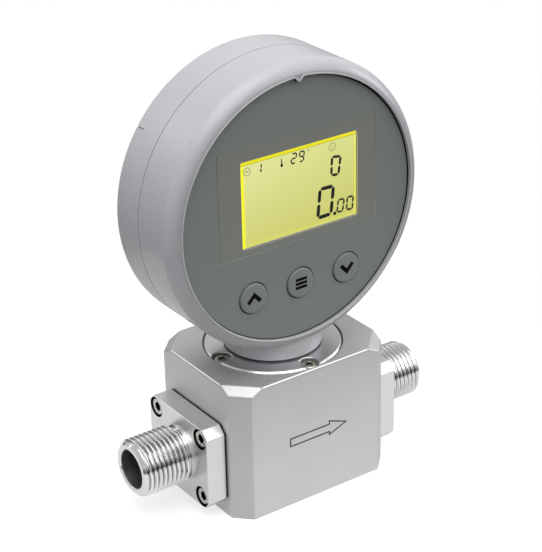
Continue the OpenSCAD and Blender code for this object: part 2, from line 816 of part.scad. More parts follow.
// Space for the post's stem and lock in the neck
module neck_bore() {
    translate([0, 0, neck_z - over]) cylinder(r = stem_r + fit, h = lock_z - neck_z + over);
    translate([0, 0, lock_z - over]) linear_extrude(lock_h + 2 * over) lock_section(fit);
    translate([0, 0, lock_z + lock_h])
        cylinder(r = stem_r + fit, h = stem_top_z - lock_z - lock_h + over);
}

// Everything in front of the parting line, or behind it
module case_side(front) {
    long = 2 * case_r;
    y = front ? seam_back - 2 * long : seam_back;
    translate([-long, y, 0]) cube([2 * long, 2 * long, 2 * head_z]);
}

// Bosses that stand in the case, from one depth to another
module bosses(angles, at, r, z0, z1) {
    at_angles(angles, at) translate([0, 0, z0]) cylinder(r = r, h = z1 - z0);
}

// Half outline of the front case, from its parting line to its lip
function front_outline() = concat(
    [[0, bulkhead_z], [case_in_r, bulkhead_z], [case_in_r, seam_z],
     [case_r - seam_d, seam_z], [case_r - seam_d, seam_z + seam_w], [case_r, seam_z + seam_w]],
    [for (i = [0 : SHOULDER_STEPS])
        let (a = 90 * i / SHOULDER_STEPS, p = 2 / shoulder_power)
        [lip_r + (case_r - lip_r) * pow(cos(a), p), shoulder_z + shoulder_l * pow(sin(a), p)]],
    [[panel_r, head_front], [panel_r, panel_back_z], [0, panel_back_z]]);

// Half outline of the rear case, from its parting line to its back
function rear_outline() = concat(
    [[0, back_wall_z], [case_in_r, back_wall_z], [case_in_r, seam_z], [case_r, seam_z]],
    [for (i = [0 : BACK_STEPS])
        let (a = 90 * i / BACK_STEPS)
        [case_r - back_round + back_round * cos(a), back_z + back_round - back_round * sin(a)]],
    [[0, back_z]]);

// Locating tab of the lip, with play round it when it is cut from the panel
module tab(play, z0, z1) {
    translate([0, 0, z0]) linear_extrude(z1 - z0) polygon([
        [-tab_w / 2 - play, panel_r + lip_w / 2], [0, panel_r - tab_d - play],
        [tab_w / 2 + play, panel_r + lip_w / 2]]);
}

// Square groove or cord round the parting line, stopped at the neck
module parting_cord(play) {
    difference() {
        on_head() translate([0, 0, seam_z]) rotate_extrude() polygon([
            [seal_mid_r - case_seal_w / 2 - play, 0], [seal_mid_r + case_seal_w / 2 + play, 0],
            [seal_mid_r + case_seal_w / 2 + play, case_seal_w + play],
            [seal_mid_r - case_seal_w / 2 - play, case_seal_w + play]]);
        cylinder(r = neck_r - play, h = head_z);
    }
}

// Front half of the case, with the bulkhead that backs the face panel
module front_case() {
    hole_r = button_hole_r + button_lap + button_side_play;
    color("lightsteelblue") difference() {
        union() {
            on_head() rotate_extrude() polygon(front_outline());
            on_head() intersection() {
                bosses(CASE_SCREW_ANGLES, boss_at, boss_r, seam_z, bulkhead_z + over);
                translate([0, 0, seam_z]) cylinder(r = case_in_r + over, h = case_r);
            }
            on_head() bosses(BOARD_POST_ANGLES, main_screw_at, board_post_r, board_z, bulkhead_z + over);
            on_head() tab(0, panel_back_z - over, head_front);
            intersection() {
                neck_body();
                case_side(true);
                on_head() neck_limit();
            }
        }
        neck_bore();
        parting_cord(fit);
        for (s = [-1, 1]) translate([s * neck_r - seam_d, seam_back - seam_w, neck_z - over])
            cube([2 * seam_d, seam_w, neck_join_z - neck_z + over]);
        on_head() {
            translate([0, view_up, panel_back_z])
                cube([lcd_w + 2 * fit, lcd_h + 2 * fit, 2 * wall + 2 * over], center = true);
            for (i = [-1 : 1]) translate([i * button_pitch, -button_low, bulkhead_z - over])
                cylinder(r = hole_r, h = wall + 2 * over);
            at_angles(CASE_SCREW_ANGLES, boss_at)
                translate([0, 0, seam_z - over])
                    cylinder(r = case_screw_r + fit, h = case_head_z + case_screw_l - seam_z + 2 * over);
            at_angles(BOARD_POST_ANGLES, main_screw_at) translate([0, 0, board_z - over])
                cylinder(r = board_screw_r + fit, h = board_screw_l - board_t + 2 * over);
        }
    }
}

// Keeps the neck behind the face panel's seat and in front of the case's back
module neck_limit() {
    difference() {
        translate([0, 0, back_z]) cylinder(r = 2 * case_r, h = head_front + head_back);
        translate([0, 0, panel_back_z]) cylinder(r = panel_r, h = head_front);
    }
}

// Rear half of the case, with its screw bosses and the interface board's standoffs
module rear_case() {
    color("lightsteelblue") difference() {
        union() {
            on_head() rotate_extrude() polygon(rear_outline());
            on_head() intersection() {
                bosses(CASE_SCREW_ANGLES, boss_at, boss_r, back_wall_z - over, seam_z);
                translate([0, 0, back_z]) cylinder(r = case_in_r + over, h = case_r);
            }
            on_head() translate([0, -io_board_down, 0])
                bosses(CASE_SCREW_ANGLES, io_screw_at, board_post_r, back_wall_z - over, io_back_z);
            intersection() {
                neck_body();
                case_side(false);
                on_head() neck_limit();
            }
        }
        neck_bore();
        on_head() {
            at_angles(CASE_SCREW_ANGLES, boss_at) translate([0, 0, back_z - over]) {
                cylinder(r = case_screw_r + screw_play, h = head_back + 2 * over);
                cylinder(r = case_head_r + case_head_play, h = case_head_z - back_z + over);
            }
            translate([0, -io_board_down, 0]) at_angles(CASE_SCREW_ANGLES, io_screw_at)
                translate([0, 0, io_front_z - board_screw_l - over])
                    cylinder(r = board_screw_r + fit, h = board_screw_l);
            translate([0, -connector_down, back_z - over])
                cylinder(r = connector_r + fit, h = wall + 2 * over);
            at_angles(SLOT_ANGLES, case_r) translate([-slot_d, -slot_w / 2, back_z - over])
                cube([slot_d + over, slot_w, slot_l + over]);
        }
    }
}

module case_seal() {
    color("black") parting_cord(0);
}

module case_screws() {
    color("silver") on_head() at_angles(CASE_SCREW_ANGLES, boss_at)
        translate([0, 0, case_head_z]) mirror([0, 0, 1])
            cross_screw(case_screw_r, case_screw_l, case_head_r, case_head_h);
}

module face_panel() {
    color("dimgray") on_head() difference() {
        translate([0, 0, panel_back_z]) cylinder(r = panel_r - panel_gap, h = panel_t);
        translate([0, view_up, panel_back_z])
            cube([view_w, view_h, 2 * panel_t + 2 * over], center = true);
        translate([-window_w / 2 - fit, window_up - window_h / 2 - fit, panel_z - window_t])
            cube([window_w + 2 * fit, window_h + 2 * fit, window_t + over]);
        for (i = [-1 : 1]) translate([i * button_pitch, -button_low, panel_back_z - over])
            cylinder(r = button_hole_r, h = panel_t + 2 * over);
        tab(panel_gap, panel_back_z - over, panel_z + over);
    }
}

module display_window() {
    color("khaki") on_head()
        translate([-window_w / 2, window_up - window_h / 2, panel_z - window_t])
            cube([window_w, window_h, window_t]);
}

module lcd_module() {
    color("yellow") on_head() translate([-lcd_w / 2, view_up - lcd_h / 2, light_z])
        cube([lcd_w, lcd_h, lcd_t]);
}

module backlight() {
    w = lcd_w - 2 * light_inset;
    h = lcd_h - 2 * light_inset;
    color("white") on_head() translate([-w / 2, view_up - h / 2, board_z]) cube([w, h, light_t]);
}

module main_board() {
    color("green") on_head() difference() {
        translate([0, 0, board_z - board_t]) cylinder(r = main_board_r, h = board_t);
        at_angles(BOARD_POST_ANGLES, main_screw_at) translate([0, 0, board_z - board_t - over])
            cylinder(r = board_screw_r + screw_play, h = board_t + 2 * over);
    }
}

module board_screws() {
    color("silver") on_head() at_angles(BOARD_POST_ANGLES, main_screw_at)
        translate([0, 0, board_z - board_t]) mirror([0, 0, 1])
            cross_screw(board_screw_r, board_screw_l, board_head_r, board_head_h);
}

module tact_switches() {
    color("darkslategray") on_head() for (i = [-1 : 1])
        translate([i * button_pitch, -button_low, board_z]) {
            translate([-switch_w / 2, -switch_w / 2, 0]) cube([switch_w, switch_w, switch_h]);
            cylinder(r = plunger_r, h = switch_h + plunger_h);
        }
}

// Push button: cap in the face panel, flange behind it, stem over its switch
module button(i) {
    cap_r = button_hole_r - button_gap;
    flange_z = panel_back_z - button_play - button_flange_t;
    stem_z = board_z + switch_h + plunger_h + button_travel + button_play;
    color("gray") on_head() translate([i * button_pitch, -button_low, 0]) {
        translate([0, 0, flange_z]) cylinder(r = cap_r, h = panel_z + button_proud - flange_z);
        translate([0, 0, flange_z]) cylinder(r = button_hole_r + button_lap, h = button_flange_t);
        translate([0, 0, stem_z]) cylinder(r = button_stem_r, h = flange_z - stem_z + button_flange_t);
    }
}

module button_up() {
    button(-1);
}

module button_menu() {
    button(0);
}

module button_down() {
    button(1);
}

module lead_socket() {
    color("ivory") on_head() translate([-socket_w / 2, -socket_down, -socket_back])
        cube([socket_w, socket_h, board_z - board_t + socket_back]);
}

// Wire bundle on the post's axis, from the sensor board's header to the main board
module sensor_lead() {
    color("black") translate([0, 0, lead_z]) cylinder(r = lead_r, h = head_z - socket_down - lead_z);
}

module io_board() {
    color("green") on_head() translate([0, -io_board_down, io_back_z]) difference() {
        cylinder(r = io_board_r, h = board_t);
        at_angles(CASE_SCREW_ANGLES, io_screw_at) translate([0, 0, -over])
            cylinder(r = board_screw_r + screw_play, h = board_t + 2 * over);
    }
}

module io_board_screws() {
    color("silver") on_head() translate([0, -io_board_down, io_front_z])
        at_angles(CASE_SCREW_ANGLES, io_screw_at)
            cross_screw(board_screw_r, board_screw_l, board_head_r, board_head_h);
}

module board_link() {
    color("black") on_head() translate([-link_w / 2, link_up - link_d / 2, io_front_z])
        cube([link_w, link_d, board_z - board_t - io_front_z]);
}

// Cable connector's own frame: z points out of the case's back
module at_connector() {
    on_head() translate([0, -connector_down, back_z]) mirror([0, 0, 1]) children();
}

module cable_connector() {
    length = wall + nut_t + collar_t + connector_l;
    color("silver") at_connector() difference() {
        union() {
            translate([0, 0, -wall - nut_t]) cylinder(r = connector_r, h = length);
            cylinder(r = collar_r, h = collar_t);
        }
        translate([0, 0, -wall - nut_t - over]) cylinder(r = insert_r + fit, h = length + 2 * over);
    }
}

module connector_insert() {
    top = collar_t + connector_l - insert_sink;
    color("black") at_connector() difference() {
        translate([0, 0, -standoff_h - wall]) cylinder(r = insert_r, h = top + standoff_h + wall);
        at_angles(CONTACT_ANGLES, contact_at) translate([0, 0, top - contact_depth])
            cylinder(r = contact_r + fit, h = contact_depth + over);
    }
}

module connector_nut() {
    color("silver") at_connector() translate([0, 0, -wall - nut_t]) difference() {
        cylinder(r = nut_w / sqrt(3), h = nut_t, $fn = 6);
        translate([0, 0, -over]) cylinder(r = connector_r + fit, h = nut_t + 2 * over);
    }
}

// Contacts at the bottom of the contact block's holes
module connector_contacts() {
    color("gold") at_connector() at_angles(CONTACT_ANGLES, contact_at)
        translate([0, 0, collar_t + connector_l - insert_sink - contact_depth])
            cylinder(r = contact_r, h = contact_depth - insert_sink);
}

manifold_block();
inlet_fitting();
outlet_fitting();
inlet_gasket();
outlet_gasket();
inlet_flange_screws();
outlet_flange_screws();
inlet_screen();
flow_straightener();
outlet_screen();
sensor_holder();
sensor_seal();
sensor_chip();
sensor_board();
sensor_header();
sensor_screws();
neck_ring();
neck_ring_screws();
swivel_post();
neck_seal();
front_case();
rear_case();
case_seal();
case_screws();
face_panel();
display_window();
lcd_module();
backlight();
main_board();
board_screws();
tact_switches();
button_up();
button_menu();
button_down();
lead_socket();
sensor_lead();
io_board();
io_board_screws();
board_link();
cable_connector();
connector_insert();
connector_nut();
connector_contacts();
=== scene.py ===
# Thermal mass flow meter: a block that the gas flows through, with a round display head above it.
# The sections follow the meter as it is put together, from the block up to the display.
import math

import bmesh
import bpy
from mathutils import Matrix, Vector


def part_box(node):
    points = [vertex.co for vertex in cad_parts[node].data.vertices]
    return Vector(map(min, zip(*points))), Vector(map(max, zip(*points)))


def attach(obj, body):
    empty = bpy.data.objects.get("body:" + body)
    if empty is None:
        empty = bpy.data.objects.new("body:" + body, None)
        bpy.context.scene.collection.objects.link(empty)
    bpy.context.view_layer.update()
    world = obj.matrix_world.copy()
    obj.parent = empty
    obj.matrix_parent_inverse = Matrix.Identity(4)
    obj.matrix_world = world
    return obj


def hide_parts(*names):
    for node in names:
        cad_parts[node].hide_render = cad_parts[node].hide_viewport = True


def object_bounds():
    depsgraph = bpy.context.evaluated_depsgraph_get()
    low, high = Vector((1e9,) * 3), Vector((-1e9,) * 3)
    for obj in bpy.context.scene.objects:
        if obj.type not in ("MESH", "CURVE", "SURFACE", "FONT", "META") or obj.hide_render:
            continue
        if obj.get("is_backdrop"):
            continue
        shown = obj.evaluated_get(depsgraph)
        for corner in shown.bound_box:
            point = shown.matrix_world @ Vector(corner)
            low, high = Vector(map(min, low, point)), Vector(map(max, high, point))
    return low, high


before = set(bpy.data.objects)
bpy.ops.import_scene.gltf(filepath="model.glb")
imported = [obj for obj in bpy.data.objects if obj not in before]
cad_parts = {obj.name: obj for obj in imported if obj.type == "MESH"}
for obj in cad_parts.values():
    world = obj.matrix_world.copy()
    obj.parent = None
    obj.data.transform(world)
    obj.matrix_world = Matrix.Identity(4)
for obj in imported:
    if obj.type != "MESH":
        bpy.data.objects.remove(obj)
cad_box = [list(corner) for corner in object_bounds()]
MM = 0.001

# Camera
# Where the photograph was taken from. It was found by fitting the meter's outlines to the picture.


def new_object(name, data):
    """An object in the scene, at the origin."""
    thing = bpy.data.objects.new(name, data)
    bpy.context.scene.collection.objects.link(thing)
    return thing


camera = new_object("camera", bpy.data.cameras.new("camera"))
bpy.context.scene.camera = camera
camera.data.sensor_width = 36
camera.data.lens = 116.29
camera.data.clip_start = 0.01
cam_azimuth, cam_elevation, cam_roll = (math.radians(a) for a in (-34.757, 26.183, -1.313))
cam_distance = 619.6 * MM
cam_target = Vector((-0.064, 0, 76.304)) * MM
back = Vector((math.sin(cam_azimuth) * math.cos(cam_elevation),
               -math.cos(cam_azimuth) * math.cos(cam_elevation), math.sin(cam_elevation)))
level = Vector((0, 0, 1)).cross(back).normalized()
upright = back.cross(level)
cam_right = level * math.cos(cam_roll) + upright * math.sin(cam_roll)
cam_up = upright * math.cos(cam_roll) - level * math.sin(cam_roll)
camera.matrix_world = (Matrix.Translation(cam_target + back * cam_distance)
                       @ Matrix((cam_right, cam_up, back)).transposed().to_4x4())

# Studio
# A white table, a pale surround with a dark card at the front right, which draws the dark band in
# the polished metal, a large soft lamp overhead and weaker ones round the sides.


def srgb(code):
    """Linear colour of an sRGB hex value."""
    parts = [int(code[i:i + 2], 16) / 255 for i in (1, 3, 5)]
    return [c / 12.92 if c <= 0.04045 else ((c + 0.055) / 1.055) ** 2.4 for c in parts] + [1.0]


def add_node(tree, kind, settings=None, links=None):
    """Adds a node. Settings go to its options or inputs, and links to its inputs. A link starts at a
    socket or at the first output of a node."""
    node = tree.nodes.new(kind)
    for key, value in (settings or {}).items():
        if isinstance(key, str) and hasattr(node, key):
            setattr(node, key, value)
        else:
            node.inputs[key].default_value = value
    for key, source in (links or {}).items():
        socket = source.outputs[0] if isinstance(source, bpy.types.Node) else source
        tree.links.new(socket, node.inputs[key])
    return node


world = bpy.data.worlds.new("surround")
bpy.context.scene.world = world
world.use_nodes = True
tree = world.node_tree
tree.nodes.clear()
direction = add_node(tree, "ShaderNodeTexCoord").outputs["Generated"]
height = add_node(tree, "ShaderNodeSeparateXYZ", links={"Vector": direction}).outputs["Z"]
skies = []
surround_shades = ((0.0, "#8E8F91"), (0.12, "#B6B7B8"), (0.34, "#E6E6E7"), (0.6, "#F4F4F5"), (1.0, "#FFFFFF"))
card_shades = ((0.0, "#131415"), (0.28, "#1E1F20"), (0.42, "#DADADB"), (0.6, "#F4F4F5"), (1.0, "#FFFFFF"))
for shades in (surround_shades, card_shades):
    skies.append(add_node(tree, "ShaderNodeValToRGB", links={"Fac": height}))
    for at, shade in shades:
        ramp = skies[-1].color_ramp.elements
        stop = ramp.new(at) if 0 < at < 1 else ramp[int(at)]
        stop.color = srgb(shade)
card_direction = (0.26, -0.965, 0.0)
to_card = add_node(tree, "ShaderNodeVectorMath", {"operation": "DOT_PRODUCT", 1: card_direction},
                   {0: direction})
card = add_node(tree, "ShaderNodeMapRange", {"From Min": 0.5, "From Max": 0.85},
                {"Value": to_card.outputs["Value"]})
sky = add_node(tree, "ShaderNodeMix", {"data_type": "RGBA"},
               {0: card, 6: skies[0].outputs["Color"], 7: skies[1].outputs["Color"]})
rays = add_node(tree, "ShaderNodeLightPath")
seen = add_node(tree, "ShaderNodeMath", {"operation": "MAXIMUM"},
                {0: rays.outputs["Is Camera Ray"], 1: rays.outputs["Is Transmission Ray"]})
lit = add_node(tree, "ShaderNodeBackground", {"Strength": 0.7}, {"Color": sky.outputs[2]})
plain = add_node(tree, "ShaderNodeBackground", {"Color": srgb("#FFFFFF"), "Strength": 1.0})
mix = add_node(tree, "ShaderNodeMixShader",
               links={0: seen, 1: lit, 2: plain})
add_node(tree, "ShaderNodeOutputWorld", links={"Surface": mix})

table_mesh = bpy.data.meshes.new("table")
table_half = 0.15
table_corners = [(x * table_half, y * table_half, 0) for x, y in ((-1, -1), (1, -1), (1, 1), (-1, 1))]
table_mesh.from_pydata(table_corners, [], [(0, 1, 2, 3)])
table = new_object("table", table_mesh)
table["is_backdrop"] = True
paper = bpy.data.materials.new("white_paper")
paper.use_nodes = True
tree = paper.node_tree
tree.nodes.clear()
rays = add_node(tree, "ShaderNodeLightPath")
white_in_mirrors, white_in_view = 0.35, 0.65
mirrored = add_node(tree, "ShaderNodeMath", {"operation": "MULTIPLY", 1: white_in_mirrors},
                    {0: rays.outputs["Is Glossy Ray"]})
seen = add_node(tree, "ShaderNodeMath", {"operation": "MULTIPLY_ADD", 1: white_in_view},
                {0: rays.outputs["Is Camera Ray"], 2: mirrored})
matt = add_node(tree, "ShaderNodeBsdfDiffuse", {"Color": srgb("#B8B8B8")})
glow = add_node(tree, "ShaderNodeEmission", {"Color": srgb("#FFFFFF")}, {"Strength": seen})
both = add_node(tree, "ShaderNodeAddShader", links={0: matt, 1: glow})
add_node(tree, "ShaderNodeOutputMaterial", links={"Surface": both})
table_mesh.materials.append(paper)

lamp_aim = Vector((0, 0, 0.08))
for lamp_name, place, size, power in (
        ("overhead", (-0.25, -0.35, 1.35), 1.3, 12.9),
        ("back_left", (-0.57, 0.96, 0.66), 0.35, 0.45),
        ("right_side", (1.2, -0.25, 0.35), 0.5, 3.1),
        ("front", (-0.3, -1.25, 0.9), 0.8, 0.5),
        ("back_right", (0.62, 0.9, 0.62), 0.6, 0.1),
        ("front_right", (0.66, -0.8, 0.78), 0.85, 3.4)):
    lamp = new_object(lamp_name, bpy.data.lights.new(lamp_name, "AREA"))
    lamp.data.shape, lamp.data.size, lamp.data.energy = "SQUARE", size, power
    lamp.location = place
    lamp.rotation_euler = (Vector(place) - lamp_aim).to_track_quat("Z", "Y").to_euler()

bpy.context.scene.view_settings.view_transform = "Standard"

# Block
# One aluminium block, milled, bead-blasted to an even satin and clear anodised. The sloped facets on
# top were cut again and are bright, the upright corner facets are painted a little darker as shade,
# and the deburred edges catch the light. The real grain is finer. It is drawn at about 0.2 mm so that
# it shows.
metal = {"Metallic": 1.0}


def new_material(name, shader):
    """A material with a Principled shader whose inputs are given by name."""
    material = bpy.data.materials.new(name)
    material.use_nodes = True
    bsdf = material.node_tree.nodes["Principled BSDF"]
    for key, value in (shader or {}).items():
        bsdf.inputs[key].default_value = value
    where = add_node(material.node_tree, "ShaderNodeTexCoord").outputs["Object"]
    return material, material.node_tree, bsdf, where


def two_tones(tree, bsdf, where, tones, drift):
    """A colour that drifts between two tones, as a cast, rolled or moulded stock does."""
    cloud = add_node(tree, "ShaderNodeTexNoise", {"Scale": 1 / (drift * MM), "Detail": 3.0},
                     {"Vector": where})
    tone = add_node(tree, "ShaderNodeMix", {"data_type": "RGBA", 6: srgb(tones[0]), 7: srgb(tones[1])},
                    {0: cloud.outputs["Fac"]})
    tree.links.new(tone.outputs[2], bsdf.inputs["Base Color"])


def surface(tree, bsdf, marks, rough, relief):
    """Roughness between two values, and a relief in mm, that both follow the marks on a surface."""
    gloss = add_node(tree, "ShaderNodeMapRange", {"To Min": rough[0], "To Max": rough[1]},
                     {"Value": marks})
    tree.links.new(gloss.outputs[0], bsdf.inputs["Roughness"])
    bump = add_node(tree, "ShaderNodeBump", {"Strength": 1.0, "Distance": relief * MM}, {"Height": marks})
    tree.links.new(bump.outputs[0], bsdf.inputs["Normal"])


def finish(name, tones, rough, grain, relief, drift=14.0, shader=None):
    """A finish with two tones that drift over drift mm, roughness between two values, and a grain
    of the given size and relief, in mm."""
    material, tree, bsdf, where = new_material(name, shader)
    two_tones(tree, bsdf, where, tones, drift)
    speck = add_node(tree, "ShaderNodeTexNoise", {"Scale": 1 / (grain * MM), "Detail": 2.0},
                     {"Vector": where})
    surface(tree, bsdf, speck.outputs["Fac"], rough, relief)
    return material


def anodised(cut, tones, rough, grain, relief, drift=14.0):
    """A finish of clear anodised aluminium, named after how it was cut."""
    return finish(cut + "_anodised_aluminium", tones, rough, grain, relief, drift, metal)


def opened(mesh):
    """A bmesh that holds a mesh."""
    bm = bmesh.new()
    bm.from_mesh(mesh)
    return bm


def closed(bm, mesh):
    """Puts a bmesh into a mesh."""
    bm.to_mesh(mesh)
    bm.free()
    return mesh


def made(bm, outwards=False):
    """A new mesh of a bmesh. Its faces are turned outwards where that is asked for."""
    if outwards:
        bmesh.ops.recalc_face_normals(bm, faces=bm.faces)
    return closed(bm, bpy.data.meshes.new("made"))


def clean_copy(node, keep=None):
    """Copy of a CAD node's mesh with its loose triangles joined and its flat faces made whole.
    Where keep is given, faces with a corner for which it is false are left out."""
    bm = opened(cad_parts[node].data)
    bmesh.ops.remove_doubles(bm, verts=bm.verts, dist=0.002 * MM)
    if keep:
        gone = [f for f in bm.faces if not all(keep(v.co) for v in f.verts)]
        bmesh.ops.delete(bm, geom=gone, context="FACES")
    bmesh.ops.dissolve_limit(bm, angle_limit=math.radians(0.2), verts=bm.verts, edges=bm.edges)
    mesh = made(bm)
    for extra in ("custom_normal", "sharp_edge", "sharp_face"):
        if extra in mesh.attributes:
            mesh.attributes.remove(mesh.attributes[extra])
    return mesh


def place(name, mesh, material, body, node=None, slot=None, sharp=32.0):
    """Makes the mesh a piece that rides on a body. It is smooth but for its large flat faces with
    many corners, and for edges sharper than an angle."""
    mesh.name = name
    piece = new_object(name, mesh)
    mesh.materials.clear()
    mesh.materials.append(material)
    mesh.shade_smooth()
    mesh.set_sharp_from_angle(angle=math.radians(sharp))
    large = 90 * MM * MM
    for face in mesh.polygons:
        face.use_smooth = len(face.vertices) < 5 or face.area < large
    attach(piece, body)
    if node:
        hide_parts(node)
    return piece


def keep_flat(piece, weight):
    """Lets the large faces decide the shading, so that they stay flat beside small ones."""
    flat = piece.modifiers.new("flat_faces", "WEIGHTED_NORMAL")
    flat.weight, flat.keep_sharp = weight, True


def round_edges(piece, width, share, angle=30.0, segments=3):
    """Rounds the edges sharper than an angle by share(middle) times width, in mm."""
    bm = opened(piece.data)
    weight = bm.edges.layers.float.new("bevel_weight_edge")
    for edge in bm.edges:
        if len(edge.link_faces) == 2 and edge.calc_face_angle() > math.radians(angle):
            edge[weight] = share((edge.verts[0].co + edge.verts[1].co) / (2 * MM))
    closed(bm, piece.data)
    bevel = piece.modifiers.new("rounding", "BEVEL")
    bevel.limit_method, bevel.width, bevel.segments = "WEIGHT", width * MM, segments
    bevel.harden_normals = True
    bevel.use_clamp_overlap = False
    keep_flat(piece, 100)


def refinish(piece, material, chosen):
    """Gives another finish to the faces for which chosen(face, middle) holds. The middle is in mm."""
    piece.data.materials.append(material)
    index = len(piece.data.materials) - 1
    for face in piece.data.polygons:
        if chosen(face, face.center / MM):
            face.material_index = index


block_half_l, block_half_w, block_h, corner_reach = 33.0, 26.1, 51.3, 53
blasted = anodised("bead_blasted", ("#CECECD", "#D5D5D4"), (0.5, 0.58), 0.22, 0.012)
bright_cut = anodised("bright_cut", ("#D2D2D1", "#DADAD9"), (0.24, 0.3), 0.3, 0.003)
# Painted shade: the upright corner facets get a darker tone of the same metal.
corner_shade_finish = anodised("corner_painted_shade", ("#BCBCBB", "#C3C3C2"), (0.46, 0.54), 0.3, 0.012)
block = place("manifold_block_blasted", clean_copy("manifold_block"), blasted, "meter_body",
              "manifold_block", "anodised_block")


def sloped_facet(face, middle):
    leans_one_way = min(abs(face.normal.x), abs(face.normal.y)) < 0.01
    return leans_one_way and abs(face.normal.z - math.sqrt(0.5)) < 0.01 and middle.z > block_h - 1.3


def corner_facet(face, middle):
    upright = abs(face.normal.z) < 0.01 and min(abs(face.normal.x), abs(face.normal.y)) > 0.6
    return upright and abs(middle.x) + abs(middle.y) > corner_reach - 3


refinish(block, bright_cut, sloped_facet)
refinish(block, corner_shade_finish, corner_facet)
rim_w, hidden_w, hidden_low, hidden_high = 11, 17.5, 3, 37


def block_share(p):
    """The outer edges are rounded, those round the top's seat and holes less, and those that a flange
    plate hides aren't."""
    at_end, at_side = abs(p.x) > block_half_l - 0.5, abs(p.y) > block_half_w - 0.5
    if at_end and abs(p.y) < hidden_w and hidden_low < p.z < hidden_high:
        return 0.0
    if abs(p.x) <= block_half_l - rim_w and abs(p.y) <= block_half_w - rim_w:
        return 0.0
    if at_end or at_side or abs(p.x) + abs(p.y) > corner_reach:
        return 1.0
    return 0.5 if p.z > block_h - 1 else 0.0


round_edges(block, 0.45, block_share)

# The flow arrow is engraved and filled with dark paint. It shows which way the gas goes.
arrow_line, arrow_thick = 0.5, 0.06
arrow = [(-11.5, 24.0), (-11.5, 27.0), (5.3, 27.0), (5.3, 28.3), (12.6, 25.6), (5.3, 22.8), (5.3, 24.0)]


def thicken(bm, offset):
    """Pulls flat faces out into closed bodies, in mm."""
    grown = bmesh.ops.extrude_face_region(bm, geom=bm.faces[:])
    for item in grown["geom"]:
        if isinstance(item, bmesh.types.BMVert):
            item.co += Vector(offset) * MM


def ribbon(outline, width, depth, loop=True):
    """Flat band of a given width along an outline, as a mesh that lies in x and y, in mm."""
    bm = bmesh.new()
    count = len(outline)
    points = [Vector(p) for p in outline]
    pairs = []
    for i, point in enumerate(points):
        before = points[i - 1] if loop or i else point
        after = points[(i + 1) % count] if loop or i < count - 1 else point
        first = (point - before).normalized() if (point - before).length else (after - point).normalized()
        second = (after - point).normalized() if (after - point).length else first
        normal = Vector((-first.y - second.y, first.x + second.x)).normalized()
        reach = width / 2 / max(0.4, normal.dot(Vector((-second.y, second.x))))
        pairs.append([bm.verts.new((*(point + normal * side * reach) * MM, 0)) for side in (1, -1)])
    for i in range(count if loop else count - 1):
        a, b = pairs[i], pairs[(i + 1) % count]
        bm.faces.new((a[0], a[1], b[1], b[0]))
    bmesh.ops.recalc_face_normals(bm, faces=bm.faces)
    thicken(bm, (0, 0, depth))
    return made(bm, outwards=True)


def on_front(mesh, y, height=0.0):
    """Stands a flat mesh up at a depth y, so that its x and y run along the meter's x and z, in mm."""
    mesh.transform(Matrix.Translation((0, y * MM, height * MM)) @ Matrix.Rotation(math.pi / 2, 4, "X"))
    return mesh


arrow_paint = finish("dark_filler_paint", ("#1E1F20", "#2A2B2C"), (0.5, 0.7), 0.15, 0.01, drift=2.0)
arrow_mesh = on_front(ribbon(arrow, arrow_line, arrow_thick), arrow_thick / 2 - block_half_w)
place("flow_arrow", arrow_mesh, arrow_paint, "meter_body", slot="anodised_block")

# Fittings
# A flange plate with a threaded spigot at each end, turned and milled from aluminium bar and clear
# anodised. The plate is satin with a bright chamfer. The thread is bright and its roots are painted
# darker as shade. The bore and the counterbores are painted dark as shade.
turned_metal = anodised("turned", ("#DDDDDC", "#E7E7E6"), (0.12, 0.16), 0.35, 0.001)
satin_metal = anodised("satin", ("#DADAD9", "#E2E2E1"), (0.28, 0.36), 0.22, 0.006)
axis_h, plate_face, spigot_end, bore_r, gasket_face = 20.3, 40.9, 60.55, 7.05, 33.65
pitch, root_r, crest_r, relief_r, end_r = 1.814, 9.32, 10.4775, 9.2775, 8.8
spigot_foot, thread_start, thread_full, thread_end = 41.6, 42.5, 43.1, 58.85
rows_a_turn, thread_sides = 12.0, 96


def tone_inside(material, across, middle, radii, tone):
    """Another tone near an axis, which fades into the plain one between two radii, in mm."""
    tree = material.node_tree
    shader = tree.nodes["Principled BSDF"]
    plain_tone = shader.inputs["Base Color"].links[0].from_socket
    where = add_node(tree, "ShaderNodeTexCoord").outputs["Object"]
    off_axis = add_node(tree, "ShaderNodeVectorMath",
                        {"operation": "MULTIPLY_ADD", 1: across, 2: (0, 0, -middle * MM)}, {0: where})
    radius = add_node(tree, "ShaderNodeVectorMath", {"operation": "LENGTH"}, {0: off_axis})
    outwards = add_node(tree, "ShaderNodeMapRange", {
        "interpolation_type": "SMOOTHSTEP", "From Min": radii[0] * MM, "From Max": radii[1] * MM},
        {"Value": radius.outputs["Value"]})
    mixed = add_node(tree, "ShaderNodeMix", {"data_type": "RGBA", 6: srgb(tone)},
                     {0: outwards, 7: plain_tone})
    tree.links.new(mixed.outputs[2], shader.inputs["Base Color"])


thread_painted_root_shade = anodised("thread_painted_root_shade", ("#E8E8E7", "#F1F1F0"), (0.12, 0.16), 0.35, 0.001)
# Painted shade: the thread's roots, nearest the axis, are darker.
tone_inside(thread_painted_root_shade, (0, 1, 1), axis_h, (9.35, 9.84), "#868684")


def new_tree(name, sizes):
    """A tree with inputs, whose names are listed by their kind, a material and a result."""
    tree = bpy.data.node_groups.new(name, "GeometryNodeTree")
    for kind, labels in sizes.items():
        for label in labels:
            tree.interface.new_socket(label, in_out="INPUT", socket_type="NodeSocket" + kind)
    tree.interface.new_socket("Material", in_out="INPUT", socket_type="NodeSocketMaterial")
    tree.interface.new_socket("Geometry", in_out="OUTPUT", socket_type="NodeSocketGeometry")
    return tree, add_node(tree, "NodeGroupInput").outputs


def coated(tree, shape, given):
    """Ends a tree: its shape is made real and gets its material."""
    real = add_node(tree, "GeometryNodeRealizeInstances", links={"Geometry": shape})
    coat = add_node(tree, "GeometryNodeSetMaterial", links={"Geometry": real, "Material": given["Material"]})
    add_node(tree, "NodeGroupOutput", links={"Geometry": coat})
    return tree


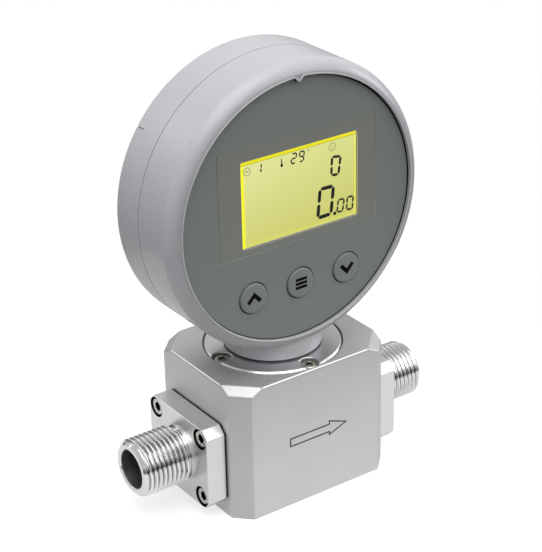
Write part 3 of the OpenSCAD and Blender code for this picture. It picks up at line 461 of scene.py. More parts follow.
def helix_tree():
    """A male thread round an axis along +X. A grid is wound up so that its rows follow the helix, and
    they rise from root to crest and back once a turn. Both ends fade out in a chamfer."""
    tree, given = new_tree("male_thread", {
        "Float": ("Pitch", "Start", "Start Full", "End Full", "End", "Start Radius", "Root Radius",
                  "Crest Radius", "End Radius"),
        "Int": ("Turns",)})
    rows = add_node(tree, "ShaderNodeMath", {"operation": "MULTIPLY_ADD", 1: rows_a_turn, 2: 1.0},
                    {0: given["Turns"]})
    grid = add_node(tree, "GeometryNodeMeshGrid",
                    {"Size X": 1.0, "Size Y": 1.0, "Vertices X": thread_sides + 1}, {"Vertices Y": rows})
    flat = add_node(tree, "ShaderNodeSeparateXYZ", links={0: add_node(tree, "GeometryNodeInputPosition")})
    value = {"x": flat.outputs["X"], "y": flat.outputs["Y"]}
    for result, operation, *parts in (
            ("around", "ADD", "x", 0.5), ("up", "ADD", "y", 0.5), ("wound", "MULTIPLY", "up", "Turns"),
            ("both", "ADD", "wound", "around"), ("shifted", "SUBTRACT", "both", 1.0),
            ("free", "MULTIPLY_ADD", "shifted", "Pitch", "Start"), ("not_before", "MAXIMUM", "free", "Start"),
            ("along", "MINIMUM", "not_before", "End"), ("flank", "PINGPONG", "wound", 0.5),
            ("wave", "SMOOTHSTEP", "flank", 0.03, 0.47, "Root Radius", "Crest Radius"),
            ("rise", "LINEAR", "along", "Start", "Start Full", "Start Radius", "Crest Radius"),
            ("fall", "LINEAR", "along", "End Full", "End", "Crest Radius", "End Radius"),
            ("lower", "MINIMUM", "wave", "rise"), ("radius", "MINIMUM", "lower", "fall"),
            ("angle", "MULTIPLY", "around", 2 * math.pi), ("cosine", "COSINE", "angle"),
            ("sine", "SINE", "angle"), ("side", "MULTIPLY", "radius", "cosine"),
            ("top", "MULTIPLY", "radius", "sine")):
        if operation in ("SMOOTHSTEP", "LINEAR"):
            node = add_node(tree, "ShaderNodeMapRange", {"interpolation_type": operation})
        else:
            node = add_node(tree, "ShaderNodeMath", {"operation": operation})
        for i, part in enumerate(parts):
            if isinstance(part, str):
                tree.links.new(value[part] if part in value else given[part], node.inputs[i])
            else:
                node.inputs[i].default_value = part
        value[result] = node.outputs[0]
    spot = add_node(tree, "ShaderNodeCombineXYZ",
                    links={"X": value["along"], "Y": value["side"], "Z": value["top"]})
    moved = add_node(tree, "GeometryNodeSetPosition",
                     links={"Geometry": grid.outputs["Mesh"], "Position": spot})
    joined = add_node(tree, "GeometryNodeMergeByDistance", {"Distance": 0.004 * MM}, {"Geometry": moved})
    return coated(tree, joined, given)


def run_tree(tree, sizes, mesh=None):
    """Plain mesh that a tree makes from its named inputs. Numbers are in mm, but whole ones are counts."""
    carrier = new_object("carrier", mesh or bpy.data.meshes.new("carrier"))
    modifier = carrier.modifiers.new("maker", "NODES")
    modifier.node_group = tree
    for item in tree.interface.items_tree:
        if item.name in sizes:
            size = sizes[item.name]
            modifier[item.identifier] = size * MM if isinstance(size, float) else size
    graph = bpy.context.evaluated_depsgraph_get()
    result = bpy.data.meshes.new_from_object(carrier.evaluated_get(graph), depsgraph=graph)
    carrier.modifiers.remove(modifier)
    bpy.data.objects.remove(carrier)
    return result


def bridge(bm, first, second):
    """Closes the band between two loops that have as many points."""
    for i in range(len(first)):
        bm.faces.new((first[i - 1], first[i], second[i], second[i - 1]))


def closed_thread(mesh, stations, turn):
    """Closes a thread's tube with rings at (along, radius), in mm, from its far end back to its start."""
    bm = opened(mesh)
    open_verts = {v for e in bm.edges if e.is_boundary for v in e.verts}
    middle = (min(v.co.x for v in open_verts) + max(v.co.x for v in open_verts)) / 2
    near, far = ([v for v in open_verts if (v.co.x > middle) == side] for side in (False, True))
    near, far = (sorted(loop, key=lambda v: round(math.atan2(v.co.z, v.co.y) % (2 * math.pi - 1e-4), 5))
                 for loop in (near, far))
    assert len(near) == len(far) == thread_sides, (len(near), len(far))
    last = far
    for along, radius in stations:
        ring = [bm.verts.new((along * MM, *(Vector((v.co.y, v.co.z)).normalized() * radius * MM)))
                for v in far]
        bridge(bm, ring, last)
        last = ring
    bridge(bm, near, last)
    bmesh.ops.recalc_face_normals(bm, faces=bm.faces)
    bm.transform(turn)
    closed(bm, mesh)


def join_meshes(meshes):
    bm = bmesh.new()
    for mesh in meshes:
        bm.from_mesh(mesh)
    return made(bm)


# Painted shade: a near-black metal for the insides of counterbores, sockets and recesses, which lie in shade.
recess_painted_shade = finish("recess_painted_shade", ("#1B1A18", "#262523"), (0.35, 0.5), 0.2, 0.004, drift=1.0,
                     shader=metal)
# Painted shade: the bore is a darker tone of the metal, as the shade inside it.
bore_painted_shade_metal = anodised("bore_painted_shade", ("#949492", "#9C9C9A"), (0.4, 0.5), 0.3, 0.004, drift=3.0)
hole_y, hole_z = 13.8, 11.5
flange_holes = [(y, axis_h + z) for y in (-hole_y, hole_y) for z in (-hole_z, hole_z)]


def in_holes(radius, middles, clear=0.06, depth=4.0):
    """Tells the faces inside holes along x: well within a radius of a middle and below its mouth. They
    get the painted shade of the holes."""
    def chosen(face, spot):
        return any(clear < (x - spot.x) * (1 if x > 0 else -1) < depth
                   and math.hypot(spot.y - y, spot.z - z) < radius for x, y, z in middles)
    return chosen


def on_plate(face, middle):
    return abs(middle.x) < plate_face + 0.01


def off_bore_axis(middle):
    return math.hypot(middle.y, middle.z - axis_h)


def untouched(chosen):
    """Leaves out the faces that have another finish than the first."""
    return lambda face, middle: face.material_index == 0 and chosen(face, middle)


def on_chamfer(face, middle):
    return on_plate(face, middle) and abs(middle.x) > plate_face - 0.24 and 0.3 < abs(face.normal.x) < 0.95


def on_thread(face, middle):
    return not on_plate(face, middle) and off_bore_axis(middle) > root_r - 0.02 and abs(middle.x) < thread_end


def in_bore(face, middle):
    return abs(face.normal.x) < 0.1 and off_bore_axis(middle) < bore_r + 0.05


male_thread = helix_tree()
for side, node in ((-1, "inlet_fitting"), (1, "outlet_fitting")):
    tube = run_tree(male_thread, {
        "Pitch": pitch, "Turns": 12, "Start": thread_start, "Start Full": thread_full,
        "End Full": thread_end, "End": spigot_end, "Start Radius": relief_r, "Root Radius": root_r,
        "Crest Radius": crest_r, "End Radius": end_r, "Material": turned_metal})
    turn = Matrix.Translation((0, 0, axis_h * MM)) @ Matrix.Rotation(0 if side > 0 else math.pi, 4, "Z")
    inside, foot_r, mouth = gasket_face + 0.05, 10.04, 0.35
    closed_thread(tube, ((spigot_end, end_r - 0.02), (spigot_end, bore_r + mouth),
                         (spigot_end - mouth, bore_r), (inside, bore_r), (inside, foot_r),
                         (spigot_foot, foot_r), (spigot_foot, relief_r)), turn)
    plate = clean_copy(node, keep=lambda co: abs(co.x) < (plate_face + 0.01) * MM)
    bm = opened(plate)
    bmesh.ops.bridge_loops(bm, edges=[e for e in bm.edges if e.is_boundary])
    bmesh.ops.recalc_face_normals(bm, faces=bm.faces)
    closed(bm, plate)
    piece = place(node + "_turned", join_meshes((plate, tube)), turned_metal, "meter_body", node,
                  "anodised_fitting", sharp=40.0)
    # The counterbores are painted dark as their shade.
    refinish(piece, recess_painted_shade, in_holes(3.85, [(side * plate_face, y, z) for y, z in flange_holes]))
    refinish(piece, bright_cut, on_chamfer)
    refinish(piece, thread_painted_root_shade, on_thread)
    # The bore gets its painted shade.
    refinish(piece, bore_painted_shade_metal, untouched(in_bore))
    refinish(piece, satin_metal, untouched(on_plate))
    keep_flat(piece, 80)

# Gaskets
# A flat rubber gasket under each plate. The screws squeeze it, and it swells to the plates' edges,
# where it shows as a black line.
black_rubber = finish("moulded_rubber_black", ("#060607", "#0B0B0C"), (0.7, 0.85), 0.4, 0.01, drift=5.0,
                      shader={"Specular IOR Level": 0.15})
swelling, corner_w, near_edge, hole_clear = 0.35 * MM, 3.2 * MM, 0.1 * MM, 2.6 * MM
for node in ("inlet_gasket", "outlet_gasket"):
    pressed = clean_copy(node)
    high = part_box(node)[1]
    half_w, half_h = high.y, high.z - axis_h * MM
    for vert in pressed.vertices:
        across, up = vert.co.y, vert.co.z - axis_h * MM
        in_corner = abs(across) > half_w - corner_w and abs(up) > half_h - corner_w
        at_edge = abs(across) > half_w - near_edge or abs(up) > half_h - near_edge
        off_hole = math.hypot(abs(across) - hole_y * MM, abs(up) - hole_z * MM) > hole_clear
        if (in_corner or at_edge) and off_hole:
            vert.co.y = across * (half_w + swelling) / half_w
            vert.co.z = axis_h * MM + up * (half_h + swelling) / half_h
    place(node + "_pressed", pressed, black_rubber, "meter_body", node, "gasket_rubber")

# Flange screws
# Eight M4 socket cap screws of stainless steel in the plates' counterbores. Their knurled heads lie
# just below the surface, so that a dark gap shows round each of them. The counterbores and the sockets
# are painted dark as shade.
screw_steel = finish("stainless_steel", ("#C2C1BE", "#D0CFCC"), (0.2, 0.3), 0.3, 0.004, drift=3.0,
                     shader=metal)


def turned(rings, count=96):
    """Turned or pressed solid about z. A ring is a height and a radius in mm, where the radius may be a
    function of the angle."""
    bm = bmesh.new()
    loops = []
    for height, radius in rings:
        reach = radius if callable(radius) else (lambda angle, radius=radius: radius)
        angles = [2 * math.pi * i / count for i in range(count)]
        loops.append([bm.verts.new((reach(a) * math.cos(a) * MM, reach(a) * math.sin(a) * MM, height * MM))
                      for a in angles])
    for low, high in zip(loops, loops[1:]):
        bridge(bm, low, high)
    bm.faces.new(reversed(loops[0]))
    bm.faces.new(loops[-1])
    return made(bm, outwards=True)


def hexagon(key):
    return lambda a: key / 2 / math.cos(a % (math.pi / 3) - math.pi / 6)


def knurl(radius, depth=0.1, teeth=48):
    return lambda a: radius - depth * (round(a * teeth / math.pi) % 2)


def screw_circle():
    """Copies of a screw at even steps round an ellipse, each turned as it happened to be tightened."""
    tree, given = new_tree("screw_circle", {
        "Geometry": ("Geometry",), "Float": ("Reach Across", "Reach Up"), "Vector": ("First Angle",),
        "Int": ("Count", "Seed")})
    circle = add_node(tree, "GeometryNodeMeshCircle", {"Radius": 1.0}, {"Vertices": given["Count"]})
    swung = add_node(tree, "GeometryNodeTransform",
                     links={"Geometry": circle, "Rotation": given["First Angle"]})
    reach = add_node(tree, "ShaderNodeCombineXYZ", {"Z": 1.0},
                     {"X": given["Reach Across"], "Y": given["Reach Up"]})
    spread = add_node(tree, "GeometryNodeTransform", links={"Geometry": swung, "Scale": reach})
    turn = add_node(tree, "FunctionNodeRandomValue", {"data_type": "FLOAT", 3: 2 * math.pi},
                    {"Seed": given["Seed"]})
    tilt = add_node(tree, "ShaderNodeCombineXYZ", links={"Z": turn.outputs[1]})
    copies = add_node(tree, "GeometryNodeInstanceOnPoints",
                      links={"Points": spread, "Instance": given["Geometry"], "Rotation": tilt})
    return coated(tree, copies, given)


circle_of_screws = screw_circle()


def four_screws(screw, material, reach, first_angle, seed):
    """Four copies of a screw on an ellipse about z, whose reach in x and in y is given in mm."""
    return run_tree(circle_of_screws, {
        "Reach Across": reach[0], "Reach Up": reach[1], "First Angle": (0, 0, first_angle), "Count": 4,
        "Seed": seed, "Material": material}, screw)


screw_l, shank_r, knurl_r, head_h, socket_w, head_foot = 12, 2, 3.35, 3.8, 3.1, 3.65
socket_screw = turned((
    (-screw_l, shank_r - 0.45), (0.45 - screw_l, shank_r), (0, shank_r), (0, knurl(knurl_r - 0.05)),
    (0.1, knurl(knurl_r)), (head_h - 0.5, knurl(knurl_r)), (head_h - 0.35, knurl_r - 0.1),
    (head_h, knurl_r - 0.5), (head_h, 1.9), (head_h - 0.2, hexagon(socket_w)), (1.2, hexagon(socket_w)),
    (0.8, 0.4)))
for side, node in ((-1, "inlet_flange_screws"), (1, "outlet_flange_screws")):
    at_end = (Matrix.Translation((side * block_half_l * MM, 0, axis_h * MM))
              @ Matrix.Rotation(side * math.pi / 2, 4, "Z") @ Matrix.Rotation(math.pi / 2, 4, "X")
              @ Matrix.Translation((0, 0, head_foot * MM)))
    screws = four_screws(socket_screw, screw_steel, (hole_y * math.sqrt(2), hole_z * math.sqrt(2)),
                         math.pi / 4, 3 + side)
    screws.transform(at_end)
    piece = place(node + "_knurled", screws, screw_steel, "meter_body", node, "screw_steel")
    sockets = [(side * (plate_face - 0.65), y, z) for y, z in flange_holes]
    # The hex sockets are painted dark as their shade.
    refinish(piece, recess_painted_shade, in_holes(1.85, sockets, clear=0.0))

# Clamping ring
# A flat aluminium ring in the block's top holds the post's foot down. It was faced on a lathe, whose
# fine circles draw its highlights out, and its bevel shows as a bright line.


def lathe_marks(name, tones, rough, pitch, relief):
    """Metal with the concentric marks of a facing cut about the meter's upright axis, in mm."""
    material, tree, bsdf, where = new_material(name, metal)
    two_tones(tree, bsdf, where, tones, drift=9)
    wave = add_node(tree, "ShaderNodeTexWave",
                    {"wave_type": "RINGS", "rings_direction": "Z", "Scale": math.pi / (10 * pitch * MM),
                     "Distortion": 0.4, "Detail": 1.0}, {"Vector": where})
    surface(tree, bsdf, wave.outputs["Fac"], rough, relief)
    return material


# The real cut is about twice as fine. It is drawn coarser so that it shows.
faced_metal = lathe_marks("faced_anodised_aluminium", ("#CFD0D1", "#D9DADB"), (0.28, 0.36), 0.35, 0.004)
ring = place("neck_ring_faced", clean_copy("neck_ring"), faced_metal, "meter_body", "neck_ring",
             "anodised_ring")
ring_screw_at, pocket_r = 21.7, 3.55


def off_ring_screw(p):
    return min(math.hypot(abs(p.x) - ring_screw_at, p.y), math.hypot(p.x, abs(p.y) - ring_screw_at))


def ring_share(p):
    return 0.0 if p.z < block_h - 0.3 else (1.0 if off_ring_screw(p) < pocket_r + 0.1 else 0.55)


round_edges(ring, 0.36, ring_share)

# Ring screws
# Four M3 pan head screws with a cross recess, of darkened steel, each in a round pocket of the ring.
# They hold the ring down on the block. The cross recesses are painted black as shade.
dark_steel = finish("darkened_steel", ("#A9A69C", "#C2BFB6"), (0.3, 0.42), 0.25, 0.006, drift=2.0,
                    shader=metal)


def cross(arm, half_w):
    """Outline of a cross recess, as a radius for each angle."""
    def reach(a):
        turn = (a + math.pi / 4) % (math.pi / 2) - math.pi / 4
        return min(arm / math.cos(turn), half_w / max(abs(math.sin(turn)), 1e-6))
    return reach


def cross_screw(shank_r, shank_l, head_r, head_h):
    return turned((
        (-shank_l, shank_r * 0.7), (0.3 - shank_l, shank_r), (0, shank_r), (0, head_r),
        (head_h * 0.45, head_r), (head_h * 0.75, head_r * 0.95), (head_h * 0.93, head_r * 0.86),
        (head_h, head_r * 0.74), (head_h, cross(head_r * 0.6, head_r * 0.14)),
        (head_h * 0.4, cross(head_r * 0.4, head_r * 0.1)), (head_h * 0.25, head_r * 0.08)))


ring_screws = four_screws(cross_screw(1.5, 9, 2.75, 1.65), dark_steel, (ring_screw_at, ring_screw_at),
                          0.0, 6)
pocket_floor, recess_reach = 49.4, 1.7
ring_screws.transform(Matrix.Translation((0, 0, pocket_floor * MM)))
ring_screws = place("neck_ring_screws_recessed", ring_screws, dark_steel, "meter_body", "neck_ring_screws",
                    "screw_steel")
# The cross recesses are painted black as their shade.
refinish(ring_screws, recess_painted_shade, lambda face, middle: off_ring_screw(middle) < recess_reach
         and pocket_floor + 0.3 < middle.z < pocket_floor + 1.6)

# Case
# Two halves moulded in light grey ABS with a fine spark-eroded grain, which spreads the highlights.
# They close on a cord seal, and a thin groove is left where they meet. The walls of the front half's
# recess, in the gap round the face panel, are painted black as shade, and a fine bead runs round its lip.
case_abs = finish("moulded_abs_light_grey", ("#B6B7BA", "#BCBDC0"), (0.32, 0.39), 0.3, 0.006)
# The front half is glossier, and its rim is painted a little darker as shade where it turns to the
# front beside the bead.
rim_abs_painted_shade = finish("moulded_abs_light_grey_rim_painted_shade", ("#B6B7BA", "#BCBDC0"), (0.25, 0.31), 0.3, 0.005)
# Painted shade: a black for the recess behind the panel, seen in the gap round it.
gap_painted_shade = finish("black_painted_gap_shade", ("#0A0A0B", "#101011"), (0.5, 0.6), 0.3, 0.004, drift=5.0,
              shader={"Specular IOR Level": 0.2})
head_z, lip_y, recess_y, recess_r, gap_shade_y, tab_tip_r = 107.8, -18.4, -15.7, 46.7, -17.3, 44.85
for node, plastic in (("front_case", rim_abs_painted_shade), ("rear_case", case_abs)):
    place(node + "_moulded", clean_copy(node), plastic, "display_head", node, "case_plastic", sharp=28.0)
# Painted shade: the rim's band beside the bead is darker.
tone_inside(rim_abs_painted_shade, (1, 0, 1), head_z, (47.2, 51.4), "#A3A4A7")


def from_axis(co):
    """Distance from the head's axis, in mm."""
    return math.hypot(co.x / MM, co.z / MM - head_z)


front_with_gap_shade = bpy.data.objects["front_case_moulded"]
front_with_gap_shade.data.materials.append(gap_painted_shade)
bm = opened(front_with_gap_shade.data)
inner = [f for f in bm.faces if all(from_axis(v.co) < recess_r + 0.05 for v in f.verts)]
parts = {item for f in inner for item in (f, *f.edges, *f.verts)}
bmesh.ops.bisect_plane(bm, geom=list(parts), plane_co=(0, gap_shade_y * MM, 0), plane_no=(0, 1, 0))
# The recess floor and its wall behind the panel are painted black as shade.
for face in bm.faces:
    middle = face.calc_center_median()
    if from_axis(middle) < recess_r + 0.05 and gap_shade_y < middle.y / MM < recess_y + 0.05:
        face.material_index = 1
closed(bm, front_with_gap_shade.data)
round_edges(front_with_gap_shade, 0.12, lambda p: 1.0 if p.y < lip_y + 0.1 else 0.0, segments=2)
bead_r, tab_half_w, bead_steps = recess_r + 0.3, 1.75, 240
first = tab_half_w / bead_r
bead_angles = [first + (2 * math.pi - 2 * first) * i / bead_steps for i in range(bead_steps + 1)]
bead_line = [(bead_r * math.sin(a), bead_r * math.cos(a)) for a in bead_angles]
bead_line += [(-0.3, tab_tip_r + 0.75), (0.0, tab_tip_r + 0.55), (0.3, tab_tip_r + 0.75)]
bead_mesh = on_front(ribbon(bead_line, 0.5, 0.3), lip_y + 0.05, head_z)
bead = place("front_case_bead", bead_mesh, case_abs, "display_head", slot="case_plastic", sharp=60.0)
round_edges(bead, 0.12, lambda p: 1.0 if p.y < lip_y - 0.1 else 0.0)

# Case screws
# Four M3 pan head screws of stainless steel at the bottom of deep holes in the case's back. They pull
# the two halves together.
at_head = Matrix.Translation((0, 0, head_z * MM)) @ Matrix.Rotation(math.pi / 2, 4, "X")
case_screw_at, case_screw_y = 45.425, 12.6
case_screws = four_screws(cross_screw(1.5, 20, 2.75, 2.0), screw_steel, (case_screw_at, case_screw_at),
                          math.pi / 4, 11)
case_screws.transform(at_head @ Matrix.Translation((0, 0, -case_screw_y * MM))
                      @ Matrix.Rotation(math.pi, 4, "X"))
place("case_screws_recessed", case_screws, screw_steel, "display_head", "case_screws", "screw_steel")

# Face panel
# A disc of grey polycarbonate with a fine matt grain, cut out for the window and the three buttons and
# stuck in the case's recess. It is trimmed a little more at the top right, where its gap is wider.
face_y, panel_back_y, panel_edge = -17.2, -15.7, 46.2
window_half_w, window_low, window_high = 32.0, -11.0, 27.0
panel_sheet = finish("matt_polycarbonate_grey", ("#797E7A", "#7D827D"), (0.44, 0.52), 0.25, 0.006)
panel_mesh = clean_copy("face_panel")
for vert in panel_mesh.vertices:
    reach = from_axis(vert.co)
    if reach > panel_edge:
        lean = (0.6 * vert.co.x / MM + 0.8 * (vert.co.z / MM - head_z)) / reach
        trim = 1 - (0.19 + 0.17 * lean) / reach
        vert.co.x, vert.co.z = vert.co.x * trim, head_z * MM + (vert.co.z - head_z * MM) * trim
bm = opened(panel_mesh)
front = [f for f in bm.faces if f.normal.y < -0.99 and f.calc_center_median().y < (face_y + 0.1) * MM]
# A band along the edges keeps the bevel off the large faces' corners, where it would fold them.
bmesh.ops.inset_region(bm, faces=front, thickness=0.8 * MM, use_even_offset=True, use_boundary=True)
closed(bm, panel_mesh)
panel = place("face_panel_matt", panel_mesh, panel_sheet, "display_head", "face_panel", "panel_plastic")


def panel_share(p):
    at_side = abs(abs(p.x) - window_half_w) < 0.2
    at_sill = abs(p.x) < window_half_w and abs(p.z - head_z - window_low) < 0.2
    at_window = at_side or at_sill
    window_top = abs(p.x) < window_half_w - 0.1 and abs(p.z - head_z - window_high) < 0.2
    return 0.0 if p.y > face_y + 0.1 or window_top else (1.0 if at_window else 0.6)


round_edges(panel, 0.3, panel_share, segments=2)

# Display window
# A clear acrylic pane let into the panel. Its border is printed from behind in a warmer grey, and it
# leaves the lit display in view.
view_middle, view_half_w, view_low, view_high = 0.8, 23.75, -8.9, 22.2


def slab(outline, front, rear, hole=None):
    """Plate that faces the reader, between two depths in mm, on an outline in x and height above the
    head's centre. It may have a hole on an outline with as many points."""
    bm = bmesh.new()
    rims = []
    for shape in [outline] + ([hole] if hole else []):
        rims.append([[bm.verts.new((x * MM, y * MM, (head_z + z) * MM)) for x, z in shape]
                     for y in (front, rear)])
    for near, far in rims:
        bridge(bm, near, far)
    for layer in (0, 1):
        if hole:
            bridge(bm, rims[0][layer], rims[1][layer])
        else:
            bm.faces.new(rims[0][layer])
    return made(bm, outwards=True)


def rounded(half_w, low, high, radius, across=0.0, steps=6):
    """Outline of a rectangle with rounded corners, with its middle at across."""
    points = []
    for turn, (sx, z) in enumerate(((1, high), (-1, high), (-1, low), (1, low))):
        middle = (across + sx * (half_w - radius), z - radius if z == high else z + radius)
        for i in range(steps + 1):
            a = math.pi / 2 * (turn + i / steps)
            points.append((middle[0] + radius * math.cos(a), middle[1] + radius * math.sin(a)))
    return points


pane_y, border_back_y, view_corner_r = face_y + 0.04, -16.2, 0.6
border_ink = finish("printed_acrylic_warm_grey", ("#7D807A", "#81837D"), (0.34, 0.4), 0.4, 0.003)
border_mesh = slab(rounded(window_half_w, window_low, window_high, 0.3), pane_y, border_back_y,
                   rounded(view_half_w, view_low, view_high, view_corner_r, view_middle))
border = place("display_window_border", border_mesh, border_ink, "display_head", "display_window",
               "window_plastic")


def border_share(p):
    outer = abs(p.x) > window_half_w - 0.5 or not window_low + 0.5 < p.z - head_z < window_high - 0.5
    return 0.0 if p.y > pane_y + 0.1 else (1.0 if outer else 0.45)


round_edges(border, 0.22, border_share, segments=2)
# An IOR below acrylic's own keeps the reflections in the pane as faint as they look on the real one.
pane_material, pane_tree, pane_bsdf, pane_where = new_material("clear_acrylic", {
    "Transmission Weight": 1.0, "IOR": 1.18, "Base Color": srgb("#FFFFFF")})
pane_haze = add_node(pane_tree, "ShaderNodeTexNoise", {"Scale": 1 / (6 * MM)}, {"Vector": pane_where})
pane_gloss = add_node(pane_tree, "ShaderNodeMapRange", {"To Min": 0.03, "To Max": 0.07},
                      {"Value": pane_haze.outputs["Fac"]})
pane_tree.links.new(pane_gloss.outputs[0], pane_bsdf.inputs["Roughness"])
pane_play, pane_sink, pane_thick = 0.02, 0.03, 0.3
pane_outline = rounded(view_half_w - pane_play, view_low + pane_play, view_high - pane_play, view_corner_r,
                       view_middle)
place("display_window_pane", slab(pane_outline, pane_y + pane_sink, pane_y + pane_sink + pane_thick),
      pane_material, "display_head", "display_window", "window_plastic")

# Display
# A reflective liquid crystal module with a yellow-green backlight. Its margins pass more of the light
# than the field between the polarisers, so the field has a bright yellow edge at the top and sides.
glass_y = -16.5
lit_glass, tree, bsdf, where = new_material("backlit_display_glass", {
    "Base Color": srgb("#0A0B06"), "Roughness": 0.3, "Specular IOR Level": 0.2, "Emission Strength": 1.0})
spot = add_node(tree, "ShaderNodeSeparateXYZ", links={"Vector": where})


def passing(tree, source, start, end, first, second):
    """A colour that passes from one to another between two places in mm. Each is a hex value or a
    socket."""
    way = add_node(tree, "ShaderNodeMapRange", {"From Min": start * MM, "From Max": end * MM},
                   {"Value": source})
    mixed = add_node(tree, "ShaderNodeMix", {"data_type": "RGBA"}, {0: way})
    for i, tint in ((6, first), (7, second)):
        if isinstance(tint, str):
            mixed.inputs[i].default_value = srgb(tint)
        else:
            tree.links.new(tint, mixed.inputs[i])
    return mixed.outputs[2]


x, z = spot.outputs["X"], spot.outputs["Z"]
left, right = view_middle - view_half_w, view_middle + view_half_w
low, top = head_z + view_low, head_z + view_high
left_half, right_half = (passing(tree, z, head_z + 21, head_z - 8, upper, lower) for upper, lower in (
    ("#E2E59B", "#CFCF6E"), ("#D9DC86", "#C9C868")))
field = passing(tree, x, -22, 22, left_half, right_half)
# The grey lines along the field's bottom and right edges are painted highlights, where the window's inner
# edge catches the light.
for source, start, end, tint in (
        (z, low + 2.5, low, "#DCDD62"), (x, left + 2.1, left + 1.0, "#FBF900"),
        (x, right - 1.1, right - 0.5, "#F6F414"), (z, top - 1.7, top - 1.5, "#C6BE12"),
        (z, top - 1.35, top - 1.1, "#EBE400"), (z, low + 0.42, low + 0.32, "#A7A898"),
        (x, right - 0.37, right - 0.3, "#B3B3A0")):
    field = passing(tree, source, start, end, field, tint)
tree.links.new(field, bsdf.inputs["Emission Color"])
lcd_half_w, lcd_low, lcd_high, lcd_back_y = 29.0, -10.85, 25.15, -12.9
module = slab(rounded(lcd_half_w, lcd_low, lcd_high, 0.4), panel_back_y, lcd_back_y)
step = slab(rounded(view_half_w - 0.1, view_low + 0.1, view_high - 0.1, 0.5, view_middle), glass_y,
            panel_back_y)
place("lcd_module_lit", join_meshes((module, step)), lit_glass, "display_head", "lcd_module", "lcd_glass")

# Display marks
# What the display has switched on: plain digits and neutral signs. The digits are nearly black and
# the outlined signs olive, and all lie as thin bodies on the glass.
mark_ink = finish("liquid_crystal_black", ("#080B05", "#0E120A"), (0.4, 0.5), 0.3, 0.002, drift=2.0,
                  shader={"Specular IOR Level": 0.1})
segments = {"a": (0, 1), "b": (1, 2), "c": (2, 3), "d": (5, 3), "e": (4, 5), "f": (0, 4), "g": (4, 2)}
digit_segments = {"0": "abcdef", "1": "bc", "2": "abged", "9": "abcdfg"}


def flat_shape(bm, outline):
    """Face on the display's glass, on an outline in x and height above the head's centre, in mm."""
    bm.faces.new([bm.verts.new((x * MM, glass_y * MM, (head_z + z) * MM)) for x, z in outline])


def digit(bm, sign, corners, stroke):
    """A seven-segment digit on the corners top left, top right, bottom right and bottom left, in mm."""
    tl, tr, br, bl = (Vector(c) for c in corners)
    knots = [tl, tr, (tr + br) / 2, br, (tl + bl) / 2, bl]
    for name in digit_segments[sign]:
        a, b = (knots[i] for i in segments[name])
        way = (b - a).normalized()
        side = Vector((-way.y, way.x)) * stroke / 2
        a, b = a + way * stroke * 0.12, b - way * stroke * 0.12
        tip = way * stroke / 2
        flat_shape(bm, (a, a + tip + side, b - tip + side, b, b - tip - side, a + tip - side))


def ring_line(middle, radius, steps=32, start=0.0):
    """Outline of a circle, in mm. With few steps it is a polygon that begins at an angle."""
    angles = [start + 2 * math.pi * i / steps for i in range(steps)]
    return [(middle[0] + radius * math.cos(a), middle[1] + radius * math.sin(a)) for a in angles]


bm = bmesh.new()
shift = (-0.58, 0.42)
for sign, stroke, corners in (
        ("0", 1.35, ((9.82, 4.06), (15.4, 3.78), (14.26, -6.11), (8.75, -6.2))),
        ("0", 0.95, ((14.87, 14.41), (18.45, 13.84), (17.49, 7.57), (14.53, 7.91))),
        ("0", 0.7, ((17.38, -1.84), (19.91, -2.08), (19.21, -6.45), (16.85, -6.24))),
        ("0", 0.7, ((21.26, -1.86), (23.8, -2.11), (23.29, -6.69), (20.91, -6.42))),
        ("2", 0.55, ((-1.56, 19.58), (0.36, 19.65), (-0.25, 16.15), (-1.95, 16.31))),
        ("9", 0.55, ((1.65, 19.6), (3.49, 19.5), (3.04, 16.1), (1.43, 16.15))),
        ("1", 0.55, ((-15.6, 19.4), (-13.75, 19.4), (-14.1, 16.3), (-15.9, 16.3)))):
    digit(bm, sign, [(x + shift[0], z + shift[1]) for x, z in corners], stroke)
decimal_point, bulb = (15.3, -6.0), (-6.3, 17.1)
thermometer = [(-6.55, 17.4), (-6.05, 17.4), (-6.2, 19.5), (-6.5, 19.5)]
for outline in (ring_line(decimal_point, 0.85, 4, math.pi / 4), ring_line(bulb, 0.55, 20), thermometer):
    flat_shape(bm, outline)
bmesh.ops.recalc_face_normals(bm, faces=bm.faces)
for face in bm.faces:
    if face.normal.y > 0:
        face.normal_flip()
thicken(bm, (0, -0.03, 0))
place("display_marks", made(bm, outwards=True), mark_ink, "display_head", slot="lcd_glass")
faint_ink = finish("liquid_crystal_olive", ("#6E7040", "#787A48"), (0.4, 0.5), 0.3, 0.002, drift=2.0)
line_thick = 0.02
(clock_x, clock_z), (key_x, key_z), degree = (14.35, 18.5), (-20.1, 18.4), (4.6, 19.8)
hands = [(clock_x - 0.55, clock_z + 0.65), (clock_x, clock_z), (clock_x + 0.05, clock_z - 0.85)]
wave_line = [(key_x - 0.8, key_z - 0.1), (key_x - 0.25, key_z + 0.3), (key_x + 0.2, key_z - 0.3),
             (key_x + 0.8, key_z + 0.15)]
lines = [ribbon(outline, width, line_thick, loop) for outline, width, loop in (
    (ring_line((clock_x, clock_z), 1.4), 0.2, True), (ring_line((key_x, key_z), 1.35), 0.22, True),
    (ring_line(degree, 0.3, 16), 0.16, True), (hands, 0.2, False), (wave_line, 0.22, False))]
signs_faint = on_front(join_meshes(lines), glass_y, head_z)
place("display_signs", signs_faint, faint_ink, "display_head", slot="lcd_glass")

